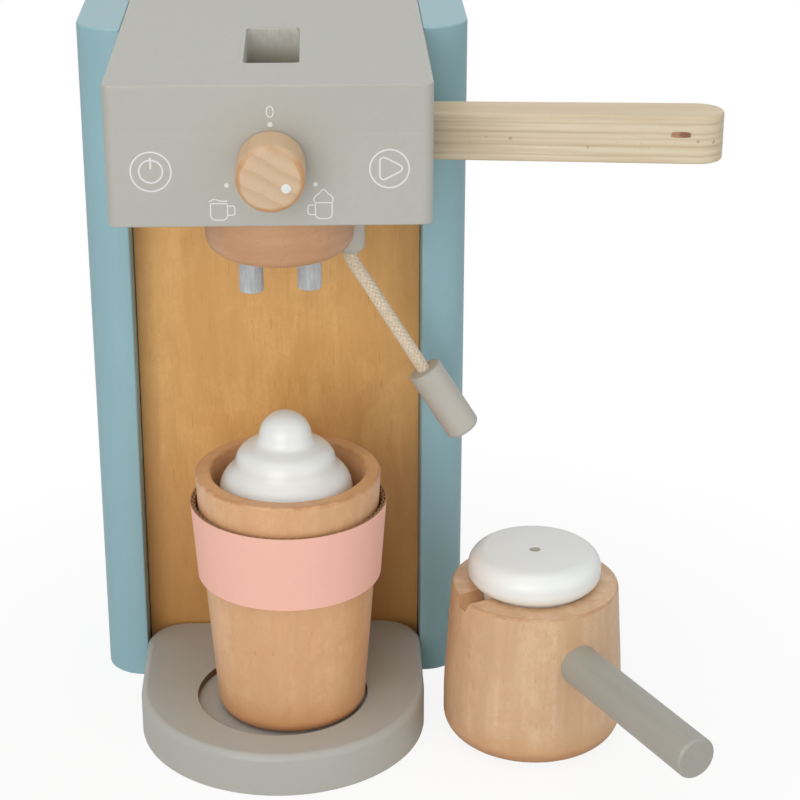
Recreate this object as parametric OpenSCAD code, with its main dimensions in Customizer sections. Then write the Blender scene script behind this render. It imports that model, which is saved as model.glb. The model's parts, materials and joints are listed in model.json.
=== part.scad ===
// Toy coffee maker: a painted wooden body with a knob, a lever, a twin outlet and a rope
// steam wand, with a takeaway cup and a milk jug. Millimetres, +Z up. The origin is on the
// floor, midway between the posts, in the plane of their front edges.

/* [Body] */
// Height of the posts
body_h = 281.2; // [240:0.2:320]
// Distance between the posts' outer sides
body_w = 152; // [136:1:180]
// Thickness of the post boards
post_t = 18; // [14:0.5:22]
// Depth of the posts, front to back
post_d = 54; // [44:1:70]
// Radius on the posts' front outer edge
post_r = 16; // [4:0.5:16]
// Distance of the back panel behind the posts' front edges
panel_set = 14.5; // [8:0.5:20]
// Thickness of the back panel
panel_t = 6; // [4:0.5:9]
// Gap between the back panel and each post
panel_gap = 1; // [0.5:0.1:2]
// Height of the rail that joins the posts at the foot
rail_h = 18; // [12:1:30]

/* [Base] */
// Thickness of the base plate
base_t = 18; // [14:0.5:24]
// Reach of the base plate in front of the posts
base_reach = 97.5; // [85:0.5:120]
// Radius rolled along the top edge of the base plate
base_edge_r = 3; // [1:0.5:4]
// Plan radius of the base plate's rear corners
base_corner_r = 17; // [8:1:24]
// Diameter of the round recess that the cup stands in
recess_d = 68.8; // [68.4:0.2:76]
// Depth of the recess
recess_depth = 3; // [2:0.5:5]
// Distance of the recess's centre in front of the posts
recess_y = 47; // [44:0.5:52]

/* [Head] */
// Height of the head
head_h = 51.7; // [50.5:0.1:60]
// Reach of the head in front of the posts
head_reach = 85; // [80:1:100]
// Thickness of the head's roof board
roof_t = 18; // [9:0.5:18]
// Thickness of the head's front and side boards
wall_t = 10; // [8:0.5:12]
// Thickness of the head's floor board
floor_t = 7.8; // [6:0.1:9]
// Radius of the head's two front corners
head_corner_r = 4; // [1:0.5:8]
// Width of the pad slot in the roof
slot_w = 20.2; // [16:0.1:26]
// Length of the pad slot, front to back
slot_l = 54.5; // [40:1:60]
// Distance of the slot's centre in front of the posts
slot_y = 26.5; // [26:0.5:32]
// Radius of the slot's corners
slot_r = 1.5; // [0.5:0.5:3]
// Sideways place of the slot and the knob, to the right of the middle
dial_x = 0.6; // [-4:0.1:4]

/* [Knob] */
// Diameter of the knob
knob_d = 24.4; // [20:0.2:30]
// Length of the knob
knob_l = 19.3; // [14:0.1:24]
// Radius rolled along the knob's front edge
knob_edge_r = 2.5; // [1:0.5:4]
// Height of the knob's axis above the head's underside
knob_rise = 23.1; // [20:0.1:24]
// Diameter of the dowel that the knob turns on
axle_d = 8; // [6:0.5:10]
// Gap between the knob and the head
knob_gap = 0.4; // [0.3:0.1:1]
// Diameter of the disc that keeps the axle in
keeper_d = 18; // [14:0.5:20]
// Thickness of that disc
keeper_t = 5; // [3:0.5:8]

/* [Outlet] */
// Diameter of the turned outlet block
group_d = 56; // [48:0.5:57]
// Height of the outlet block
group_h = 22.6; // [16:0.2:26]
// Radius rolled along the block's lower edge
group_edge_r = 7.5; // [2:0.5:8]
// Sideways place of the block, to the right of the middle
group_x = 2.3; // [-3:0.1:3]
// Distance of the block's centre in front of the posts
group_y = 43; // [41:0.5:50]
// Diameter of the two nozzle dowels
nozzle_d = 9.2; // [8:0.1:12]
// Distance between the nozzles' centres
nozzle_pitch = 22.2; // [18:0.1:26]
// Length of nozzle that shows below the block
nozzle_drop = 16; // [10:0.5:24]
// How far the block stands turned about its own axis, in degrees
group_turn = 7; // [0:1:20]

/* [Steam wand] */
// Diameter of the dowel that holds the rope
socket_d = 11.6; // [9.6:0.2:12]
// Length of that dowel below the head
socket_drop = 31.3; // [24:0.1:36]
// Diameter of the rope
rope_d = 5; // [4:0.5:6]
// Diameter of the wooden tip
tip_d = 14; // [11:0.5:16]
// Length of the tip
tip_l = 31; // [24:0.5:36]
// Radius rolled along the tip's lower edge
tip_edge_r = 2; // [0.5:0.5:3]

/* [Lever] */
// Thickness of the plywood lever
lever_t = 18.5; // [14:0.5:19]
// Width of the lever at its pin
lever_w = 16.5; // [14:0.5:20]
// Width of the lever at its grip end
lever_grip_w = 21; // [18:0.5:24]
// Reach of the grip end from the pin
lever_reach = 130.5; // [110:0.5:150]
// Reach of the inner end from the pin, under the slot
lever_tail = 50; // [44:0.5:52]
// Plan radius of the grip end's corners
lever_corner_r = 10; // [2:0.5:10]
// Diameter of the pin that the lever turns on
pin_d = 8; // [6:0.5:10]
// Distance of the pin inside the head's right-hand face
pin_in = 18; // [17:0.5:20]
// Distance of the pin in front of the posts
pin_y = 21.2; // [20:0.2:24]
// How far the lever stands swung forward at rest, in degrees
lever_rest = 4.4; // [0:0.1:8]
// How far the lever swings on forward from there, in degrees
lever_swing = 22; // [10:1:24]

/* [Cup] */
// Height of the cup
cup_h = 102.8; // [90:0.2:104]
// Diameter across the cup's rim
cup_rim_d = 73.4; // [68:0.2:76]
// Diameter of the cup at the foot
cup_foot_d = 58.8; // [54:0.2:58.8]
// Thickness of the cup's wall at the rim
cup_wall = 6.5; // [4:0.5:7]
// Depth of the hollow in the cup
cup_bore = 27; // [20:0.5:40]
// Radius rolled along the cup's foot
cup_foot_r = 4.5; // [2:0.5:8]

/* [Sleeve] */
// Height of the sleeve on the cup
sleeve_h = 31.5; // [20:0.5:40]
// Height of the sleeve's lower edge above the cup's foot
sleeve_rise = 59; // [44:0.5:60]
// Thickness of the sleeve's outer card
card_t = 0.5; // [0.4:0.1:0.8]
// Depth of the corrugated liner, crest to crest
flute_depth = 1.3; // [1:0.1:2]
// Thickness of the liner's own card
liner_t = 0.4; // [0.3:0.1:0.6]
// Number of flutes round the liner
flutes = 68; // [40:2:90]
// How far each side crease stands out beyond the round
crease_out = 0.8; // [0.5:0.1:3]

/* [Cream] */
// Diameter of the lowest swirl
cream_d = 52.4; // [46:0.2:56]
// Diameter of the middle swirl
cream_mid_d = 39.6; // [34:0.2:44]
// Diameter of the round top
cream_top_d = 20.6; // [16:0.2:24]
// Height of the cream from its foot to its top
cream_h = 51.6; // [50:0.2:60]

/* [Jug] */
// Height of the jug
jug_h = 66.5; // [60:0.5:76]
// Diameter of the jug at the foot
jug_foot_d = 72.4; // [66:0.2:80]
// Diameter across the jug's rim
jug_rim_d = 67; // [62:0.2:70]
// Radius rolled along the jug's foot
jug_foot_r = 9.5; // [3:0.5:10]
// Diameter of the hollow in the jug
jug_bore_d = 45; // [42:0.2:48]
// Depth of that hollow
jug_bore = 12; // [8:0.5:13]
// Width of the pouring notch in the rim
notch_w = 9; // [5:0.5:12]
// Depth of the pouring notch
notch_depth = 4.5; // [3:0.5:6]
// Direction of the notch, in degrees from +X
notch_turn = 206.5; // [195:0.5:225]
// Diameter of the handle dowel
handle_d = 16.5; // [12:0.5:17]
// Reach of the handle's end from the jug's axis
handle_reach = 113; // [90:0.5:130]
// Length of handle held inside the jug
handle_seat = 24; // [15:0.5:28]
// Wood left between the handle and the hollow's floor
handle_floor = 1.2; // [1:0.1:4]
// Direction of the handle, in degrees from +X
handle_turn = -63.6; // [-85:0.2:-40]
// Distance of the jug's axis beyond the right-hand post
jug_out = 26; // [24:0.2:60]
// Distance of the jug's axis in front of the posts
jug_y = 46.8; // [40:0.2:60]

/* [Foam] */
// Diameter of the foam disc
foam_d = 53.2; // [52:0.2:60]
// Height of the foam disc above the jug's rim
foam_h = 14; // [10:0.2:18]
// Diameter of the turning hole in the foam disc
foam_hole_d = 4.4; // [3:0.2:6]

/* [Fits] */
// Radial clearance round a pin that turns
fit = 0.08; // [0.04:0.01:0.1]
// Radial clearance round a glued dowel
glue = 0.05; // [0.03:0.01:0.08]
// Clearance between faces that slide over each other
slide_gap = 0.3; // [0.2:0.05:0.5]
// Diameter of the dowels that join the boards
dowel_d = 8; // [6:0.5:9]
// Length of those dowels
dowel_l = 22; // [20:1:24]

/* [Hidden] */

$fn = 96;
// A hair's breadth that lets a cut run through its face
eps = 0.01;

// Space between the posts, which the head and the base plate fill
bay_w = body_w - 2 * post_t;
half_bay = bay_w / 2;
base_r = half_bay;
base_arc_y = base_r - base_reach;
head_z = body_h - head_h;
head_d = head_reach + post_d;
floor_top = head_z + floor_t;
roof_z = body_h - roof_t;
cavity_h = roof_z - floor_top;
panel_back = panel_set + panel_t;
knob_z = head_z + knob_rise;
front_back = wall_t - head_reach;

pin_x = half_bay - pin_in;
lever_z = floor_top + slide_gap;
window_z0 = floor_top - eps;
window_h = lever_t + 2 * slide_gap + eps;
// The lever's window takes its full swing, with room to spare at both ends
window_back = pin_y - lever_w / 2 - 2.5;
window_front = pin_y + (half_bay - pin_x) * tan(lever_rest + lever_swing)
    + (lever_w + 2) / 2 / cos(lever_rest + lever_swing) + 2;
// Half the floor board each, so that the pin and the wand's dowel never meet in it
pin_seat = floor_t / 2 - 0.3;
pin_l = pin_seat + cavity_h + pin_seat;

nozzle_seat = 8;
group_z = head_z - group_h;
group_dowel_d = 12;
group_dowel_up = floor_t - 2;
group_dowel_down = group_h - nozzle_seat - 3;
axle_seat = 13;
axle_l = axle_seat + knob_gap + wall_t + slide_gap + keeper_t;
socket_z = head_z - socket_drop;
socket_chamfer = 2.4;
socket_seat = floor_t / 2 - 0.3;
// The wand hangs behind the outlet, to its right, just clear of it
socket_turn = 38.2;
socket_out = group_d / 2 + socket_d / 2 + 0.3;
socket_x = group_x + socket_out * cos(socket_turn);
socket_y = socket_out * sin(socket_turn) - group_y;

cup_x = 3.8;
cup_y = -recess_y - 0.6;
cup_z = base_t - recess_depth;
cup_rim_z = cup_z + cup_h;
cup_floor_z = cup_rim_z - cup_bore;
cup_bore_d = cup_rim_d - 2 * cup_wall;
// The hollow tapers with the cup's outside
cup_bore_taper = 2;
sleeve_z = cup_z + sleeve_rise;
cream_z = cup_floor_z + 0.1;

jug_x = body_w / 2 + jug_out;
jug_floor_z = jug_h - jug_bore;
handle_z = jug_floor_z - handle_floor - handle_d / 2;
plug_d = jug_bore_d - 1.8;
foam_aside = 0.4;
jug_foot_straight = 6;
cream_aside = 0.8;
cream_ahead = 0.6;
cream_foot_in = 2;

// Middle of the rope, counted from the middle of the socket's end, in round numbers
rope_points = [
    [0, 0, 0], [0, 0, -1], [0.3, 0, -2.2], [1, 0, -3.6], [2.2, 0, -5.8], [4.3, 0, -9.1],
    [8, 0, -14.8], [12.8, 0, -22.8], [17.6, 0, -30.8], [22.4, 0, -38.6], [25.9, 0, -44.4],
    [28.9, 0, -49.2]];
rope_sides = 10;
tip_lean = 32;

paint_blue = [0.53, 0.68, 0.71];
paint_grey = [0.70, 0.70, 0.66];
dowel_grey = [0.62, 0.65, 0.67];
beech = [0.83, 0.65, 0.49];
birch = [0.84, 0.76, 0.64];
panel_ply = [0.80, 0.62, 0.38];
white_paint = [0.92, 0.92, 0.90];
pink_card = [0.91, 0.70, 0.65];
brown_card = [0.50, 0.38, 0.27];
cotton = [0.87, 0.81, 0.70];

// ---- Shared shapes ----

// Plan of the right-hand post, with its front outer edge rounded
module post_profile() {
    translate([0, post_r])
        square([post_t, post_d - post_r]);
    square([post_t - post_r, post_d]);
    intersection() {
        translate([post_t - post_r, post_r])
            circle(r = post_r);
        square([post_t, post_d]);
    }
}

// A rod that lies along +X from the origin
module rod_x(d, l) {
    rotate([0, 90, 0])
        cylinder(d = d, h = l);
}

// A rod that lies along +Y from the origin
module rod_y(d, l) {
    rotate([-90, 0, 0])
        cylinder(d = d, h = l);
}

// A turned peg with its lower edge rolled over, standing on z = 0
module rolled_peg(d, h, r) {
    rotate_extrude() {
        translate([0, r])
            square([d / 2, h - r]);
        square([d / 2 - r, r + eps]);
        translate([d / 2 - r, r])
            intersection() {
                circle(r = r);
                translate([0, -r])
                    square([r, r]);
            }
    }
}

// A rectangle with round corners, centred on the origin
module round_rect(w, l, r) {
    square([w - 2 * r, l], center = true);
    square([w, l - 2 * r], center = true);
    for (sx = [-1, 1], sy = [-1, 1])
        translate([sx * (w / 2 - r), sy * (l / 2 - r)])
            circle(r = r);
}

// ---- Body ----

// Dowel places: height, and distance behind the posts' front edges
function head_dowel_y() = [post_d * 0.3, post_d * 0.75];
head_dowel_z = head_z + head_h / 2;
rail_dowel_y = (panel_back + post_d) / 2;
dowel_in_post = dowel_l - wall_t + 2;

module dowel_set(grow = 0) {
    for (side = [-1, 1]) {
        for (y = head_dowel_y())
            translate([side * (half_bay - wall_t + 2), y, head_dowel_z])
                rotate([0, side * 90, 0])
                    cylinder(d = dowel_d + 2 * grow, h = dowel_l + grow);
        translate([side * (half_bay - wall_t + 2), rail_dowel_y, rail_h / 2])
            rotate([0, side * 90, 0])
                cylinder(d = dowel_d + 2 * grow, h = dowel_l + grow);
    }
}

module post(side) {
    color(paint_blue)
        difference() {
            mirror([side < 0 ? 1 : 0, 0, 0])
                translate([half_bay, 0, 0])
                    linear_extrude(body_h)
                        post_profile();
            dowel_set(glue);
        }
}

module post_left() {
    post(-1);
}

module post_right() {
    post(1);
}

module back_panel() {
    panel_w = bay_w - 2 * panel_gap;
    color(panel_ply)
        difference() {
            translate([-panel_w / 2, panel_set, 0])
                cube([panel_w, panel_t, head_z]);
            base_dowel_set(glue);
        }
}

module foot_rail() {
    color(paint_grey)
        difference() {
            translate([-half_bay, panel_back, 0])
                cube([bay_w, post_d - panel_back, rail_h]);
            dowel_set(glue);
            base_dowel_set(glue);
        }
}

module frame_dowels() {
    color(birch)
        dowel_set();
}

base_dowel_x = half_bay * 0.5;
base_dowel_in = 12;
base_dowel_l = panel_t + 2 * base_dowel_in;

module base_dowel_set(grow = 0) {
    for (side = [-1, 1])
        translate([side * base_dowel_x, panel_set - base_dowel_in, min(base_t, rail_h) / 2])
            rod_y(dowel_d + 2 * grow, base_dowel_l);
}

module base_dowels() {
    color(birch)
        base_dowel_set();
}

// ---- Base ----

// Plan of the base plate, drawn in by inset all round
module base_plan(inset = 0) {
    r = base_r - inset;
    corner = base_corner_r - inset;
    straight = panel_set - base_corner_r - base_arc_y;
    intersection() {
        translate([0, base_arc_y])
            circle(r = r);
        translate([-r, base_arc_y - r])
            square([2 * r, r + 1]);
    }
    translate([-r, base_arc_y])
        square([2 * r, straight]);
    translate([corner - r, base_arc_y])
        square([2 * (r - corner), panel_set - inset - base_arc_y]);
    for (side = [-1, 1])
        translate([side * (base_r - base_corner_r), panel_set - base_corner_r])
            circle(r = corner);
}

// The rolled top edge, laid along each stretch of the plan
module base_roll() {
    r = base_edge_r;
    straight = panel_set - base_corner_r - base_arc_y;
    translate([0, base_arc_y, base_t - r])
        rotate([0, 0, 180])
            rotate_extrude(angle = 180)
                translate([base_r - r, 0])
                    circle(r = r);
    for (side = [-1, 1]) {
        translate([side * (base_r - r), base_arc_y, base_t - r])
            rod_y(2 * r, straight);
        translate([side * (base_r - base_corner_r), panel_set - base_corner_r, base_t - r])
            rotate([0, 0, side < 0 ? 90 : 0])
                rotate_extrude(angle = 90)
                    translate([base_corner_r - r, 0])
                        circle(r = r);
    }
    translate([base_corner_r - base_r, panel_set - r, base_t - r])
        rod_x(2 * r, 2 * (base_r - base_corner_r));
}

module base_plate() {
    color(paint_grey)
        difference() {
            union() {
                linear_extrude(base_t - base_edge_r)
                    base_plan();
                linear_extrude(base_t)
                    base_plan(base_edge_r);
                base_roll();
            }
            translate([0, -recess_y, base_t - recess_depth])
                cylinder(d = recess_d, h = recess_depth + 1);
            base_dowel_set(glue);
        }
}

// ---- Head ----

// Plan of the head, with its two front corners round
module head_plan() {
    r = head_corner_r;
    translate([r - half_bay, -head_reach])
        square([bay_w - 2 * r, head_d]);
    translate([-half_bay, r - head_reach])
        square([bay_w, head_d - r]);
    for (side = [-1, 1])
        translate([side * (half_bay - r), r - head_reach])
            circle(r = r);
}

module head_roof() {
    color(paint_grey)
        difference() {
            translate([0, 0, roof_z])
                linear_extrude(roof_t)
                    head_plan();
            translate([dial_x, -slot_y, roof_z - 1])
                linear_extrude(roof_t + 2)
                    round_rect(slot_w, slot_l, slot_r);
            lever_pin_rod(glue);
        }
}

module head_front() {
    color(paint_grey)
        difference() {
            translate([0, 0, head_z])
                linear_extrude(head_h - roof_t)
                    intersection() {
                        head_plan();
                        translate([-half_bay, -head_reach])
                            square([bay_w, wall_t]);
                    }
            translate([dial_x, -head_reach - 1, knob_z])
                rod_y(axle_d + 2 * fit, wall_t + 2);
        }
}

module head_side(side) {
    translate([side < 0 ? -half_bay : half_bay - wall_t, front_back, head_z])
        cube([wall_t, head_d - wall_t, head_h - roof_t]);
}

module head_side_left() {
    color(paint_grey)
        difference() {
            head_side(-1);
            dowel_set(glue);
        }
}

module head_side_right() {
    color(paint_grey)
        difference() {
            head_side(1);
            dowel_set(glue);
            translate([half_bay - wall_t - 1, -window_front, window_z0])
                cube([wall_t + 2, window_front - window_back, window_h]);
        }
}

module head_floor() {
    color(paint_grey)
        difference() {
            translate([wall_t - half_bay, front_back, head_z])
                cube([bay_w - 2 * wall_t, panel_back - front_back, floor_t]);
            translate([group_x, -group_y, head_z - 1])
                cylinder(d = group_dowel_d + 2 * glue, h = group_dowel_up + 1 + glue);
            translate([socket_x, socket_y, head_z - 1])
                cylinder(d = socket_d + 2 * glue, h = socket_seat + 1 + glue);
            lever_pin_rod(glue);
        }
}

// ---- Knob ----

module knob() {
    color(beech)
        difference() {
            translate([dial_x, -head_reach - knob_gap, knob_z])
                rotate([90, 0, 0])
                    translate([0, 0, knob_l])
                        mirror([0, 0, 1])
                            rolled_peg(knob_d, knob_l, knob_edge_r);
            translate([dial_x, -head_reach - knob_gap - axle_seat, knob_z])
                rod_y(axle_d + 2 * glue, axle_seat + 1);
        }
}

module knob_axle() {
    color(birch)
        translate([dial_x, -head_reach - knob_gap - axle_seat + glue, knob_z])
            rod_y(axle_d, axle_l - glue);
}

module axle_keeper() {
    color(birch)
        difference() {
            translate([dial_x, front_back + slide_gap, knob_z])
                rod_y(keeper_d, keeper_t);
            translate([dial_x, front_back - 1, knob_z])
                rod_y(axle_d + 2 * glue, keeper_t + 3);
        }
}

// ---- Outlet ----

module at_nozzle(side) {
    translate([group_x, -group_y, group_z - nozzle_drop])
        rotate([0, 0, group_turn])
            translate([side * nozzle_pitch / 2, 0, 0])
                children();
}

module group_block() {
    color(beech)
        difference() {
            translate([group_x, -group_y, group_z])
                rolled_peg(group_d, group_h, group_edge_r);
            translate([group_x, -group_y, head_z - group_dowel_down - glue])
                cylinder(d = group_dowel_d + 2 * glue, h = group_dowel_down + 1);
            for (side = [-1, 1])
                at_nozzle(side)
                    cylinder(d = nozzle_d + 2 * glue, h = nozzle_drop + nozzle_seat + glue);
        }
}

module group_dowel() {
    color(birch)
        translate([group_x, -group_y, head_z - group_dowel_down])
            cylinder(d = group_dowel_d, h = group_dowel_down + group_dowel_up);
}

module nozzle(side) {
    color(dowel_grey)
        at_nozzle(side)
            rolled_peg(nozzle_d, nozzle_drop + nozzle_seat, 0.6);
}

module nozzle_left() {
    nozzle(-1);
}

module nozzle_right() {
    nozzle(1);
}

// ---- Steam wand ----

module wand_socket() {
    color(paint_grey)
        translate([socket_x, socket_y, socket_z])
            rotate_extrude()
                polygon([[0, 0], [socket_d / 2 - socket_chamfer, 0],
                    [socket_d / 2, socket_chamfer],
                    [socket_d / 2, socket_drop + socket_seat],
                    [0, socket_drop + socket_seat]]);
}

function unit(v) = v / norm(v);
// Direction of the rope at point i
function rope_way(i) =
    i == 0 ? [0, 0, -1] :
    i == len(rope_points) - 1 ? [sin(tip_lean), 0, -cos(tip_lean)] :
    unit(rope_points[i + 1] - rope_points[i - 1]);
// One ring of the rope's skin about point i
function rope_ring(i) =
    let (way = rope_way(i), out = unit(cross([0, 1, 0], way)))
    [for (k = [0 : rope_sides - 1])
        let (a = 360 * k / rope_sides)
        rope_points[i] + rope_d / 2 * (cos(a) * out + sin(a) * [0, 1, 0])];

module wand_rope() {
    n = len(rope_points);
    points = [for (i = [0 : n - 1], p = rope_ring(i)) p];
    walls = [for (i = [0 : n - 2], k = [0 : rope_sides - 1])
        let (k2 = (k + 1) % rope_sides, a = i * rope_sides)
        [a + k, a + k2, a + rope_sides + k2, a + rope_sides + k]];
    first = [for (k = [rope_sides - 1 : -1 : 0]) k];
    last = [for (k = [0 : rope_sides - 1]) (n - 1) * rope_sides + k];
    color(cotton)
        translate([socket_x, socket_y, socket_z])
            polyhedron(points, concat([first], walls, [last]));
}

module wand_tip() {
    color(paint_grey)
        translate([socket_x, socket_y, socket_z] + rope_points[len(rope_points) - 1])
            rotate([0, -tip_lean, 0])
                translate([0, 0, -tip_l])
                    rolled_peg(tip_d, tip_l, tip_edge_r);
}

// ---- Lever ----

module lever_pin_rod(grow = 0) {
    translate([pin_x, -pin_y, floor_top - pin_seat - grow])
        cylinder(d = pin_d + 2 * grow, h = pin_l + 2 * grow);
}

// Plan of the lever along +X from its pin, a little wider at the grip
module lever_plan() {
    r = min(lever_corner_r, lever_grip_w / 2 - 0.3);
    tail_r = 3;
    half_tail = lever_w / 2 - (lever_grip_w - lever_w) / 2 * lever_tail / lever_reach;
    polygon([
        [-lever_tail, tail_r - half_tail], [tail_r - lever_tail, -half_tail],
        [lever_reach - r, -lever_grip_w / 2], [lever_reach, r - lever_grip_w / 2],
        [lever_reach, lever_grip_w / 2 - r], [lever_reach - r, lever_grip_w / 2],
        [tail_r - lever_tail, half_tail], [-lever_tail, half_tail - tail_r]]);
    for (side = [-1, 1])
        translate([lever_reach - r, side * (lever_grip_w / 2 - r)])
            circle(r = r);
}

module lever() {
    color(birch)
        translate([pin_x, -pin_y, lever_z])
            rotate([0, 0, -lever_rest])
                difference() {
                    linear_extrude(lever_t)
                        lever_plan();
                    translate([0, 0, -1])
                        cylinder(d = pin_d + 2 * fit, h = lever_t + 2);
                }
}

module lever_pin() {
    color(birch)
        lever_pin_rod();
}

// ---- Cup ----

module cup() {
    color(beech)
        translate([cup_x, cup_y, cup_z])
            rotate_extrude()
                difference() {
                    union() {
                        polygon([[0, 0], [cup_foot_d / 2 - cup_foot_r, 0],
                            [cup_foot_d / 2 - cup_foot_r, cup_foot_r],
                            [cup_foot_d / 2 + 0.3, cup_foot_r],
                            [cup_rim_d / 2 - 0.4, cup_h - 1],
                            [cup_rim_d / 2 - 1, cup_h], [0, cup_h]]);
                        intersection() {
                            translate([cup_foot_d / 2 - cup_foot_r + 0.3, cup_foot_r])
                                circle(r = cup_foot_r);
                            square([cup_foot_d, cup_foot_r + eps]);
                        }
                    }
                    polygon([[-1, cup_h - cup_bore],
                        [cup_bore_d / 2 - cup_bore_taper, cup_h - cup_bore],
                        [cup_bore_d / 2, cup_h - 0.8], [cup_bore_d / 2 + 0.8, cup_h],
                        [cup_bore_d / 2 + 0.8, cup_h + 1], [-1, cup_h + 1]]);
                }
}

// Outer radius of the cup at a height above its foot
function cup_r(h) = cup_foot_d / 2 + 0.3
    + (cup_rim_d / 2 - 0.4 - cup_foot_d / 2 - 0.3) * (h - cup_foot_r) / (cup_h - 1 - cup_foot_r);

sleeve_r = cup_r(sleeve_rise);
sleeve_grow = cup_r(sleeve_rise + sleeve_h) / sleeve_r;
sleeve_steps = 44;

// Outline with a crease at each side: two arcs of half depth b and half length b + crease_out
function eye(b, steps) =
    let (a = b + crease_out, r = (a * a + b * b) / (2 * b), span = asin(a / r))
    [for (side = [1, -1], i = [0 : steps - 1])
        let (t = span - 2 * span * i / steps)
        side * [r * sin(t), r * cos(t) - (r - b)]];

// A card band of thickness t inside the outline, flaring with the cup
module band(b, t) {
    linear_extrude(sleeve_h, scale = sleeve_grow)
        difference() {
            polygon(eye(b, sleeve_steps));
            polygon(eye(b - t, sleeve_steps));
        }
}

sleeve_in = sleeve_r + slide_gap;

module cup_sleeve() {
    color(pink_card)
        translate([cup_x, cup_y, sleeve_z])
            band(sleeve_in + flute_depth + card_t, card_t);
}

// The liner's wave: the eye outline shifted in and out along its own radius
function fluted(b, steps) =
    let (points = eye(b, steps))
    [for (i = [0 : len(points) - 1])
        let (p = points[i], wave = cos(360 * flutes * i / len(points)))
        p * (1 + (flute_depth - liner_t - 0.1) / 2 * wave / norm(p))];

module sleeve_liner() {
    steps = flutes * 2;
    middle = sleeve_in + flute_depth / 2;
    color(brown_card)
        translate([cup_x, cup_y, sleeve_z])
            linear_extrude(sleeve_h, scale = sleeve_grow)
                difference() {
                    polygon(fluted(middle + liner_t / 2, steps));
                    polygon(fluted(middle - liner_t / 2, steps));
                }
}

// A turned tier: a disc up to height z, tapered by foot towards its lower end, whose
// shoulder is rolled with radius r
module tier(d, z, r, foot) {
    polygon([[0, 0], [d / 2 - foot, 0], [d / 2, z], [0, z]]);
    square([d / 2 - r, z + r]);
    translate([d / 2 - r, z])
        circle(r = r);
}

module whipped_cream() {
    low_r = 9;
    mid_r = 8.2;
    top_r = cream_top_d / 2;
    top_z = cream_h - top_r;
    mid_z = top_z - 0.2 * cream_h;
    low_z = top_z - 0.4 * cream_h;
    color(white_paint)
        translate([cup_x - cream_aside, cup_y - cream_ahead, cream_z])
            rotate_extrude()
                intersection() {
                    union() {
                        tier(cream_d, low_z, low_r, cream_foot_in);
                        tier(cream_mid_d, mid_z, mid_r, 0);
                        tier(cream_top_d + eps, top_z, top_r, 0);
                    }
                    square([cream_d, cream_h + 1]);
                }
}

// ---- Jug ----

module jug_handle_rod(grow = 0) {
    translate([jug_x, -jug_y, handle_z])
        rotate([0, 0, handle_turn])
            translate([jug_foot_d / 2 - handle_seat - grow, 0, 0])
                rod_x(handle_d + 2 * grow, handle_reach - jug_foot_d / 2 + handle_seat + grow);
}

module jug() {
    color(beech)
        difference() {
            translate([jug_x, -jug_y, 0])
                rotate_extrude()
                    union() {
                        polygon([[0, 0], [jug_foot_d / 2 - jug_foot_r, 0],
                            [jug_foot_d / 2 - jug_foot_r, jug_foot_r],
                            [jug_foot_d / 2, jug_foot_r],
                            [jug_foot_d / 2, jug_foot_r + jug_foot_straight],
                            [jug_rim_d / 2, jug_h - 1],
                            [jug_rim_d / 2 - 0.8, jug_h], [0, jug_h]]);
                        intersection() {
                            translate([jug_foot_d / 2 - jug_foot_r, jug_foot_r])
                                circle(r = jug_foot_r);
                            square([jug_foot_d, jug_foot_r + eps]);
                        }
                    }
            translate([jug_x, -jug_y, jug_floor_z])
                cylinder(d = jug_bore_d, h = jug_bore + 1);
            translate([jug_x, -jug_y, jug_h])
                rotate([0, 0, notch_turn])
                    pour_notch();
            jug_handle_rod(glue);
        }
}

// The pouring notch: a groove across the wall, narrower at its flat floor
module pour_notch() {
    half_floor = notch_w * 0.14;
    rotate([90, 0, 90])
        linear_extrude(jug_foot_d / 2 + 2)
            polygon([[-notch_w / 2, 0], [-half_floor, -notch_depth], [half_floor, -notch_depth],
                [notch_w / 2, 0], [notch_w / 2, 1], [-notch_w / 2, 1]]);
}

module jug_handle() {
    color(dowel_grey)
        difference() {
            jug_handle_rod();
            translate([jug_x, -jug_y, handle_z])
                rotate([0, 0, handle_turn])
                    translate([handle_reach, 0, 0])
                        rotate([0, 90, 0])
                            rotate_extrude()
                                polygon([[handle_d / 2 - 1, 1], [handle_d / 2 - 1, 0],
                                    [handle_d / 2, -1], [handle_d, -1], [handle_d, 1]]);
        }
}

module milk_foam() {
    top_r = foam_h * 0.49;
    low_r = foam_h * 0.38;
    z0 = jug_h + 0.4;
    color(white_paint)
        translate([jug_x - foam_aside, -jug_y, 0])
            rotate_extrude()
                difference() {
                    union() {
                        translate([0, jug_floor_z + 0.1])
                            square([plug_d / 2, jug_bore + low_r]);
                        translate([0, z0])
                            square([foam_d / 2 - low_r, foam_h - top_r]);
                        translate([0, z0 + low_r])
                            square([foam_d / 2, foam_h - top_r - low_r]);
                        translate([0, z0 + low_r])
                            square([foam_d / 2 - top_r, foam_h - low_r]);
                        translate([foam_d / 2 - low_r, z0 + low_r])
                            circle(r = low_r);
                        translate([foam_d / 2 - top_r, z0 + foam_h - top_r])
                            circle(r = top_r);
                    }
                    translate([0, z0 + foam_h - 1])
                        square([foam_hole_d / 2, 2]);
                }
}

post_left();
post_right();
back_panel();
base_plate();
foot_rail();
head_roof();
head_front();
head_side_left();
head_side_right();
head_floor();
frame_dowels();
base_dowels();
knob();
knob_axle();
axle_keeper();
group_block();
group_dowel();
nozzle_left();
nozzle_right();
wand_socket();
wand_rope();
wand_tip();
lever();
lever_pin();
cup();
cup_sleeve();
sleeve_liner();
whipped_cream();
jug();
jug_handle();
milk_foam();
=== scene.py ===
"""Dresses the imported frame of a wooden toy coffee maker: boards, turned wood, card and rope."""

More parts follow.
